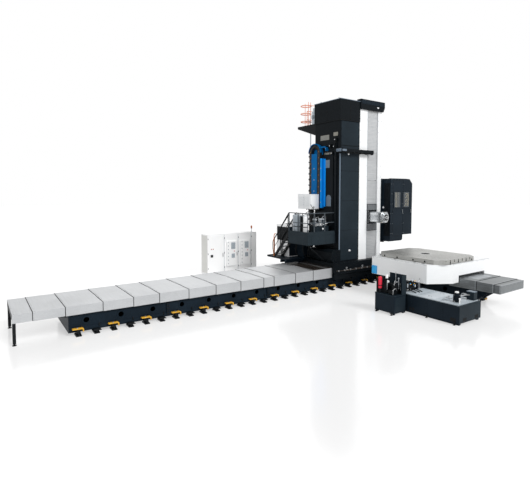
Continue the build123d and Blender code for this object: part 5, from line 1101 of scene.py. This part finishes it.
# Table bed: its covers' wiper lips, rolled edges, shallow roof and end screws, then feet, lugs, clamps and ribs
def y_rim(half, top, drop, thick, y0, y1):
    """Strip bent over a cover of the table bed: the same open box outline, carried from y0 to y1."""
    points, corners, sizes = rim(half, top, drop, thick, y0, y1)
    return np.column_stack([points[:, 1] + TABLE_BED_X, points[:, 0], points[:, 2]]), corners, sizes


for name, body, half, top, drop, near, far in (
        ("fixed", "machine", 1.036, 1.148, 0.366, -8.37, None),
        ("near", "near_cover", 1.048, 1.16, 0.39, -8.09, None),
        ("moving", "table_slide", 1.06, 1.172, 0.414, -7.33, -2.25)):
    strips = [y_rim(half, top, drop - 0.01, 0.003, near + 0.004, near + 0.045)]
    if far is not None:
        strips.append(y_rim(half, top, drop - 0.01, 0.003, far - 0.045, far - 0.004))
    piece(f"table_cover_edge_{name}", joined(*strips), pale_steel, body=body)
for name, body, half, top, drop, at, out in (
        ("near", "near_cover", 1.036, 1.148, 0.366, -8.09, -1),
        ("near_moving", "table_slide", 1.048, 1.16, 0.39, -7.33, -1),
        ("far", "far_cover", 1.036, 1.148, 0.366, -1.95, 1),
        ("far_moving", "table_slide", 1.048, 1.16, 0.39, -2.25, 1)):
    piece(f"table_cover_lip_{name}", y_rim(half, top, drop - 0.02, 0.011, *sorted((at, at + out * 0.018))), rubber,
          slot="cover_dark_steel", body=body)
outline = np.array([(-0.2, 1.17), (0.55, 1.186), (1.1, 1.186), (1.86, 1.17)])
roof = loft([np.column_stack([outline[:, 0], np.full(4, y), outline[:, 1]]) for y in (-7.27, -6.56)])
piece("table_cover_roof", roof, dark_steel, body="table_slide")
piece("table_cover_plate", loft(
    [np.column_stack([[0.2, 0.6, 1.05, 1.5], [y] * 4, [1.1795, 1.1875, 1.1875, 1.179]]) for y in (-7.2, -6.62)]),
      pale_steel, body="table_slide")
piece("table_cover_end_screws",
      screws(0.014, "-y", [(x, -8.372, z) for x in np.linspace(-0.1, 1.76, 7) for z in (0.83, 1.1)]), zinc)
piece("table_cover_end_hem",
      slabs(0.002, (-0.2, 1.86, -8.376, -8.368, 1.125, 1.146), (-0.2, 1.86, -8.376, -8.368, 0.784, 0.8)), pale_steel)
# Black disc at the back of each hole of the table bed: painted shade inside the hole
w_hole_shade = turning([(0.099, -0.13), (0.099, -0.125), (0.0005, -0.123)], 24)
w_spots = [(0.28, -6.95 + 1.4 + n * 1.2, 0.44) for n in range(4)]
piece("table_bed_hole_shade_discs", copies(facing(w_hole_shade, "-x"), w_spots), rubber, slot="cast_paint_dark")
piece("table_bed_beads", copies(
    facing(turning([(0.101, 0.0), (0.122, 0.0), (0.118, 0.01), (0.106, 0.01), (0.101, 0.0)], 24), "-x"), w_spots),
      casting_paint)
w_rows = [-6.95 + 0.1 + n * (5.27 - 0.2) / 8 for n in range(9)]
piece("table_bed_foot_screws",
      copies(levelling, [(TABLE_BED_X + side * 0.6, y, 0.1) for y in w_rows for side in SIDES]), zinc)
piece("table_bed_lugs", slabs(
    0.006,
    *[(*sorted((TABLE_BED_X + side * 0.55, TABLE_BED_X + side * 0.66)), y - 0.08, y + 0.08, 0.11, 0.16)
      for y in w_rows for side in SIDES]), casting_paint)
piece("table_bed_clamps", slabs(
    0.008,
    *[(*sorted((TABLE_BED_X + side * 0.58, TABLE_BED_X + side * 0.8)), y - 0.05, y + 0.05, 0.0, 0.09)
      for y in w_rows[::2] for side in SIDES]), yellow_paint)
piece("table_bed_ribs", slabs(
    0.005, *[(0.262, 0.281, y, y + 0.05, 0.14, 0.66) for y in (-6.9, -4.95, -3.75, -2.55, -1.75)],
    (0.258, 0.281, -6.94, -1.7, 0.64, 0.695)), casting_paint)

# Chip tank: plate edges, dark slabs of painted shade for the notches for a fork, ribs, feet, lid handles, pumps with
# caps, pipes and valves
piece("tank_edge", slabs(
    0.004, (-3.312, -3.292, -8.388, -5.59, 0.715, 0.762), (-1.768, -1.748, -8.388, -5.59, 0.715, 0.762),
    (-3.3, -1.76, -8.392, -8.372, 0.715, 0.762), (-3.3, -1.76, -5.608, -5.588, 0.715, 0.762)), slate_paint)
piece("tank_end_plate", slab(-3.29, -1.77, -8.386, -8.379, 0.09, 0.71, edge=0.003), slate_paint)
# Flat dark slabs where the fork notches open: painted shade
piece("tank_fork_notch_shade", slabs(
    0.003, (-3.05, -2.8, -8.39, -8.378, 0.12, 0.26), (-3.306, -3.299, -8.25, -8.02, 0.12, 0.26),
    (-2.2, -1.95, -8.39, -8.378, 0.12, 0.26), (-3.306, -3.299, -6.4, -6.17, 0.12, 0.26)), rubber,
      slot="magazine_paint_dark")
piece("tank_side_ribs", slabs(0.004, *[(-3.309, -3.299, y, y + 0.04, 0.1, 0.71) for y in (-7.7, -7.0, -6.3)]),
      housing_paint)
piece("tank_feet", joined(
    *[moved(turning([(0.02, 0), (0.05, 0.002), (0.05, 0.014), (0.018, 0.02), (0.018, 0.12)], 12), (x, y, 0))
      for x in (-3.33, -1.73) for y in (-8.2, -7.0, -5.8)],
    *[slab(*sorted((x, x + side * 0.06)), y - 0.035, y + 0.035, 0.09, 0.12) for x, side in ((-3.3, -1), (-1.76, 1))
      for y in (-8.2, -7.0, -5.8)]), black_oxide)
handle_line = pipe([(0, -0.08, 0), (0, -0.08, 0.045), (0, 0.08, 0.045), (0, 0.08, 0)], 0.007, 6, 0.02)
piece("lid_handles",
      copies(handle_line, [(x, y, LID_TOP) for x in (-2.95, -2.1) for y in (-7.9, -7.55, -6.9, -5.85)]), zinc)
piece("lid_screws", copies(
    socket_screw(0.01),
    [(x, y, LID_TOP) for x in np.linspace(-3.2, -1.86, 6) for y in (-8.26, -7.58, -7.43, -6.48, -6.33, -5.78)]), zinc)
piece("lid_folds", slabs(
    0.002, *[(-3.25, -1.81, y, y + 0.012, 0.779, 0.787) for y in (-7.0, -6.9)],
    (-3.16, -1.95, -7.2, -6.62, 0.779, 0.783)), grey_paint)
pump_ribs = joined(
    *[turning([(0.129, z), (0.137, z + 0.003), (0.137, z + 0.009), (0.129, z + 0.012)])
      for z in np.arange(0.03, 0.24, 0.026)], turning([(0.092, 0.318), (0.095, 0.322), (0.09, 0.35), (0.001, 0.36)]),
    turning([(0.15, 0), (0.15, 0.014), (0.135, 0.016)]))
piece("pump_ribs", moved(pump_ribs, (-2.78, -7.96, LID_TOP)), black_paint, slot="unit_paint_grey")
piece("pump_white_cap",
      moved(turning([(0.07, 0), (0.075, 0.01), (0.07, 0.05), (0.001, 0.065)], 18), (-2.78, -7.96, 1.135)),
      white_paint)
piece("tank_white_valve", moved(
    turning([(0.025, 0), (0.025, 0.16), (0.035, 0.17), (0.035, 0.21), (0.001, 0.22)], 14), (-2.98, -8.2, LID_TOP)),
      white_paint)
piece("pump_box_plates", slab(-2.09, -1.83, -8.27, -7.95, 1.1, 1.118), pale_slate_and_highlight, slot="unit_paint_grey")
piece("pump_box_cover", slab(-2.085, -1.835, -8.265, -7.955, 0.781, 1.1), slate_paint)
tank_pipes = [
    [(-2.78, -7.8, 0.86), (-2.78, -7.5, 0.86), (-2.4, -7.4, 0.86), (-2.4, -7.4, LID_TOP)],
    [(-2.6, -8.0, 1.0), (-2.3, -8.05, 1.0), (-2.09, -8.1, 0.98)],
    [(-1.95, -7.96, 0.95), (-1.95, -7.7, 0.95), (-1.85, -7.6, 0.86), (-1.85, -7.6, LID_TOP)]]
piece("tank_pipes", joined(*[pipe(run, 0.02, 8, 0.08) for run in tank_pipes]), zinc)
valve = turning(
    [(0.045, 0), (0.045, 0.05), (0.03, 0.06), (0.03, 0.14), (0.05, 0.15), (0.05, 0.2), (0.02, 0.21), (0.02, 0.25),
     (0.001, 0.252)], 14)
piece("tank_valves", copies(valve, [(-2.95, -5.72, LID_TOP), (-2.72, -5.74, LID_TOP), (-2.5, -5.72, LID_TOP)]),
      black_paint)
piece("tank_valve_body", joined(
    slab(-3.05, -2.35, -5.78, -5.66, 0.86, 0.95, round_by=0.02, edge=0.006),
    *[slab(x, x + 0.1, -5.8, -5.66, 0.95, 1.2, edge=0.01) for x in (-2.9, -2.6)],
    *[pipe([(x, -5.72, 0.8), (x, -5.85, 0.84), (x - 0.05, -6.1, 0.82), (x - 0.05, -6.2, 0.79)], 0.02, 8)
      for x in (-2.85, -2.6, -2.42)]), black_oxide, slot="column_paint_black")
piece("valve_yellow_levers", slabs(
    0.003,
    *[(x - 0.012, x + 0.14, -5.76, -5.73, z, z + 0.02) for x, z in ((-2.72, 1.04), (-2.5, 1.04), (-2.45, 1.16))]),
      yellow_paint)
piece("valve_blue_caps", slabs(0.006, (-2.8, -2.75, -5.82, -5.8, 1.08, 1.13), (-2.56, -2.53, -5.82, -5.8, 1.0, 1.05)),
      light_blue_paint)
piece("valve_pale_bodies", joined(
    slab(-2.98, -2.93, -5.82, -5.78, 0.96, 1.12, edge=0.006), moved(facing(gauge, "-y"), (-2.65, -5.8, 1.24)),
    slab(-2.46, -2.4, -5.82, -5.78, 0.92, 1.02, edge=0.006)), grey_paint)
piece("tank_pole", joined(
    pipe([(-2.03, -5.75, LID_TOP), (-2.03, -5.75, 1.26)], 0.014, 8),
    moved(turning([(0.04, 0), (0.04, 0.01), (0.02, 0.02)], 12), (-2.03, -5.75, LID_TOP)),
    pipe([(-2.12, -5.75, LID_TOP), (-2.12, -5.75, 1.1), (-2.03, -5.75, 1.16)], 0.01, 8)), zinc)

# Hydraulic unit: castors, red cylinder, gauges, pump motor, lines and the dark panel's fittings
piece("unit_castors", copies(
    turning([(0.05, 0.001), (0.055, 0.005), (0.055, 0.02), (0.02, 0.03), (0.02, 0.075)], 14),
    [(x, y, 0) for x in (-4.26, -3.43) for y in (-6.0, -5.2)]), black_oxide)
piece("unit_castor_plates", slabs(
    0.003, *[(x - 0.06, x + 0.06, y - 0.05, y + 0.05, 0.07, 0.085) for x in (-4.25, -3.44) for y in (-6.0, -5.2)]),
      black_oxide)
piece("unit_top_rim", slabs(
    0.004, (-4.232, -4.21, -6.11, -5.09, 0.775, 0.812), (-4.22, -3.46, -6.112, -6.09, 0.775, 0.812),
    (-4.22, -3.46, -5.11, -5.088, 0.775, 0.812)), slate_paint)
piece("unit_front_plate", slab(-4.15, -3.54, -6.107, -6.099, 0.14, 0.72, edge=0.003), slate_paint)
piece("unit_red_cylinder", moved(
    turning([(0.07, 0), (0.08, 0.01), (0.08, 0.46), (0.07, 0.49), (0.04, 0.51), (0.001, 0.512)], 22),
    (-4.1, -5.26, 0.99)), signal_red)
piece("unit_red_bracket", joined(
    slab(-4.2, -4.0, -5.2, -5.14, 0.81, 1.4, edge=0.006),
    moved(turning([(0.083, 0), (0.083, 0.03)]), (-4.1, -5.26, 1.1)),
    moved(turning([(0.07, 0.81), (0.07, 0.99)], 14), (-4.1, -5.26, 0))), black_paint)
piece("unit_white_filter", joined(
    moved(turning([(0.05, 0), (0.058, 0.01), (0.058, 0.14), (0.045, 0.16), (0.001, 0.165)], 18), (-3.9, -5.45, 1.42)),
    moved(facing(gauge, "-x"), (-4.0, -5.62, 1.32)), slab(-4.02, -3.95, -5.9, -5.84, 0.95, 1.0, edge=0.006)),
      white_paint)
unit_blocks = joined(
    slab(-4.02, -3.78, -5.58, -5.34, 0.8, 1.22, edge=0.012), slab(-3.98, -3.82, -5.54, -5.38, 1.22, 1.42, edge=0.01),
    slab(-4.1, -3.6, -5.92, -5.68, 0.82, 0.98, edge=0.01),
    moved(turned_axes(turning([(0.11, -0.2), (0.12, -0.19), (0.12, 0.14), (0.1, 0.16)]), "y"), (-3.72, -5.5, 1.1)),
    *[slab(x, x + 0.07, -5.96, -5.9, 1.0, 1.0 + h, edge=0.008)
      for x, h in ((-4.08, 0.2), (-3.96, 0.28), (-3.85, 0.16))])
piece("unit_blocks", unit_blocks, black_paint)
unit_lines = [
    [(-3.98, -5.9, 1.2), (-3.98, -5.92, 1.36), (-3.8, -5.85, 1.42), (-3.7, -5.7, 1.3)],
    [(-4.05, -5.6, 0.98), (-4.12, -5.65, 1.2), (-4.05, -5.6, 1.4), (-3.92, -5.55, 1.36)],
    [(-3.84, -5.8, 1.22), (-3.84, -5.9, 1.34), (-3.66, -5.95, 1.28), (-3.62, -5.95, 0.95)],
    [(-4.12, -5.95, 0.82), (-4.14, -5.98, 1.05), (-4.0, -6.0, 1.1), (-3.9, -5.98, 0.98)]]
piece("unit_lines", joined(*[pipe(run, 0.011, 8) for run in unit_lines]), zinc)
piece("unit_pale_pipe", joined(
    pipe([(-3.56, -5.8, 0.82), (-3.56, -5.8, 1.46)], 0.022),
    moved(turning([(0.034, 0), (0.034, 0.05)], 12), (-3.56, -5.8, 1.4)),
    moved(turning([(0.034, 0), (0.034, 0.05)], 12), (-3.56, -5.8, 0.83))), grey_paint)
piece("unit_pole", joined(
    pipe([(-3.6, -5.68, 0.8), (-3.6, -5.68, 1.69)], 0.013, 8),
    moved(turning([(0.025, 0), (0.025, 0.04), (0.001, 0.05)], 10), (-3.6, -5.68, 1.66))), zinc)
piece("unit_panel_fold", joined(
    slab(-3.53, -3.46, -6.11, -5.29, 1.59, 1.612), slab(-3.745, -3.46, -6.112, -6.1, 0.81, 1.605, edge=0.003),
    slab(-3.62, -3.5, -6.118, -6.11, 1.45, 1.52, edge=0.003)), slate_paint)

# Control cabinets: door seams, hinges, swing handles, switches, cooler grilles, side vents and the lamp
doors = [(-6.8, -5.67), (-5.67, -4.67), (-4.67, -3.7), (-3.7, -3.27)]
leaf = slabs(0.004, *[(x0 + 0.025, x1 - 0.025, 5.585, 5.6, 0.16, 2.45) for x0, x1 in doors])
piece("cabinet_doors", leaf, cabinet_paint)
piece("cabinet_seams", slabs(0.001, *[(x0 + 0.004, x0 + 0.022, 5.59, 5.6005, 0.14, 2.46) for x0, _ in doors[1:]]),
      grey_paint)
piece("cabinet_hinges",
      slabs(0.003, *[(x0 + 0.02, x0 + 0.045, 5.575, 5.588, z, z + 0.09) for x0, _ in doors for z in (0.4, 1.3, 2.2)]),
      black_oxide)
piece("cabinet_handles",
      joined(*[slab(x1 - 0.1, x1 - 0.07, 5.56, 5.586, 1.1, 1.34, round_by=0.01) for _, x1 in doors[:3]]), polyamide)
piece("cabinet_switch", joined(
    slab(-6.6, -6.44, 5.565, 5.586, 1.12, 1.28, edge=0.006),
    moved(facing(turning([(0.035, 0), (0.035, 0.02), (0.012, 0.024), (0.012, 0.04), (0.001, 0.042)], 16), "-y"),
          (-6.52, 5.565, 1.2))), polyamide)
piece("cabinet_amber_buttons", copies(
    facing(turning([(0.03, 0), (0.03, 0.02), (0.02, 0.028), (0.001, 0.03)], 14), "-y"),
    [(-6.43, 5.585, 1.62), (-6.55, 5.585, 1.62)]), amber_plastic)
grilles, slots, frames, dots = [], [], [], []
for x in (-5.17, -4.185):
    frames.append(frame_of(x - 0.33, x + 0.33, 0.52, 2.03, 0.03, 0.01, 5.47))
    frames.append(frame_of(x - 0.08, x + 0.25, 1.52, 1.98, 0.018, 0.008, 5.468))
    grilles += [louvres(x - 0.06, x + 0.23, 5.47, 1.55, 1.96, 12, 0.014),
                louvres(x - 0.03, x + 0.2, 5.47, 1.0, 1.26, 7, 0.014)]
    slots += [slab(x - 0.06, x + 0.23, 5.466, 5.471, 1.55, 1.96, edge=0.001),
              slab(x - 0.03, x + 0.2, 5.466, 5.471, 1.0, 1.26, edge=0.001)]
    slots += [slab(x - 0.27, x - 0.235, 5.464, 5.471, z, z + 0.07, edge=0.002) for z in np.arange(0.62, 1.95, 0.22)]
    dots.append((x + 0.16, 5.468, 1.41))
piece("cooler_frames", joined(*frames), cabinet_paint)
piece("cooler_grilles", joined(*grilles), grille_plastic)
piece("cooler_grille_backs", joined(*slots), mid_grey_paint)
piece("cooler_lamps", copies(facing(turning([(0.028, 0), (0.028, 0.012), (0.001, 0.02)], 14), "-y"), dots),
      signal_red)
# Side plate and vent slats in the darker side enamel: painted shade
piece("cabinet_side_vent", slabs(
    0.003, *[(-6.81, -6.8, 5.8, 6.2, z, z + 0.02) for z in np.arange(0.5, 0.9, 0.05)],
    (-6.806, -6.8, 5.65, 6.4, 0.16, 2.44)), cabinet_side_shade)
piece("cabinet_roof_ledge", slab(-6.81, -3.26, 5.59, 6.46, 2.496, 2.515), cabinet_paint)
piece("cabinet_plinth_cover", slabs(0.003, *[(x0 + 0.03, x1 - 0.03, 5.612, 5.621, 0.01, 0.095) for x0, x1 in doors]),
      mid_grey_paint)
rings = joined(
    turning([(0.034, 0.0), (0.036, 0.01), (0.036, 0.05), (0.034, 0.06)], 18),
    moved(turning([(0.034, 0.0), (0.036, 0.006), (0.036, 0.02), (0.034, 0.026)], 18), (0, 0, 0.19)))
piece("signal_lamp_base", moved(rings, (-3.52, 5.8, 2.5)), grey_paint)
piece("signal_lamp_lens", moved(
    turning([(0.05, 0), (0.055, 0.005), (0.055, 0.17), (0.045, 0.185), (0.001, 0.19)], 18), (-3.52, 5.8, 2.74)),
      amber_plastic)


# Floor, backdrop and lights
def seen_rays(tree):
    """Node that gives 1 for rays from the camera, off glossy faces and through clear ones, and 0 for the rest."""
    rays = add_node(tree, "LightPath")
    mirrored = add_node(tree, "Math", {0: rays.outputs["Is Camera Ray"], 1: rays.outputs["Is Glossy Ray"]},
                        operation="MAXIMUM")
    return add_node(tree, "Math", {0: mirrored.outputs[0], 1: rays.outputs["Is Transmission Ray"]},
                    operation="MAXIMUM")


floor_mesh = bpy.data.meshes.new("studio_floor")
floor_mesh.from_pydata([(-150, -150, -0.003), (150, -150, -0.003), (150, 150, -0.003), (-150, 150, -0.003)], [],
                       [(0, 1, 2, 3)])
floor = bpy.data.objects.new("studio_floor", floor_mesh)
bpy.context.collection.objects.link(floor)
pale = bpy.data.materials.new("pale_studio_floor")
pale.use_nodes = True
pale.node_tree.nodes.clear()
seen = seen_rays(pale.node_tree)
bounce = add_node(pale.node_tree, "BsdfDiffuse", {"Color": linear("#e9e9e9")})
shade = add_node(pale.node_tree, "BsdfDiffuse", {"Color": linear("#a6a6a6")})
mirror = add_node(pale.node_tree, "BsdfAnisotropic", {"Color": linear("#747474"), "Roughness": 0.16})
glow = add_node(pale.node_tree, "Emission", {"Color": (1, 1, 1, 1), "Strength": 0.5})
lit = add_node(pale.node_tree, "AddShader", {0: shade.outputs[0], 1: mirror.outputs[0]})
whole = add_node(pale.node_tree, "AddShader", {0: lit.outputs[0], 1: glow.outputs[0]})
share = add_node(pale.node_tree, "MixShader", {0: seen.outputs[0], 1: bounce.outputs[0], 2: whole.outputs[0]})
add_node(pale.node_tree, "OutputMaterial", {"Surface": share.outputs[0]})
floor_mesh.materials.append(pale)

world = bpy.data.worlds.new("studio")
world.use_nodes = True
world.node_tree.nodes.clear()
seen = seen_rays(world.node_tree)
strength = add_node(world.node_tree, "MapRange", {"Value": seen.outputs[0], "To Min": 0.45, "To Max": 1.0})
sky = add_node(world.node_tree, "Background", {"Color": (1, 1, 1, 1), "Strength": strength.outputs[0]})
add_node(world.node_tree, "OutputWorld", {"Surface": sky.outputs[0]})
bpy.context.scene.world = world

for name, power, spread, turn in (("key_lamp", 2.1, 22, (52, 0, 14)), ("side_lamp", 0.75, 40, (60, 0, -76)),
                                  ("back_lamp", 0.4, 50, (55, 0, 150))):
    lamp_data = bpy.data.lights.new(name, "SUN")
    lamp_data.energy = power
    lamp_data.angle = math.radians(spread)
    lamp = bpy.data.objects.new(name, lamp_data)
    lamp.rotation_euler = [math.radians(angle) for angle in turn]
    bpy.context.collection.objects.link(lamp)
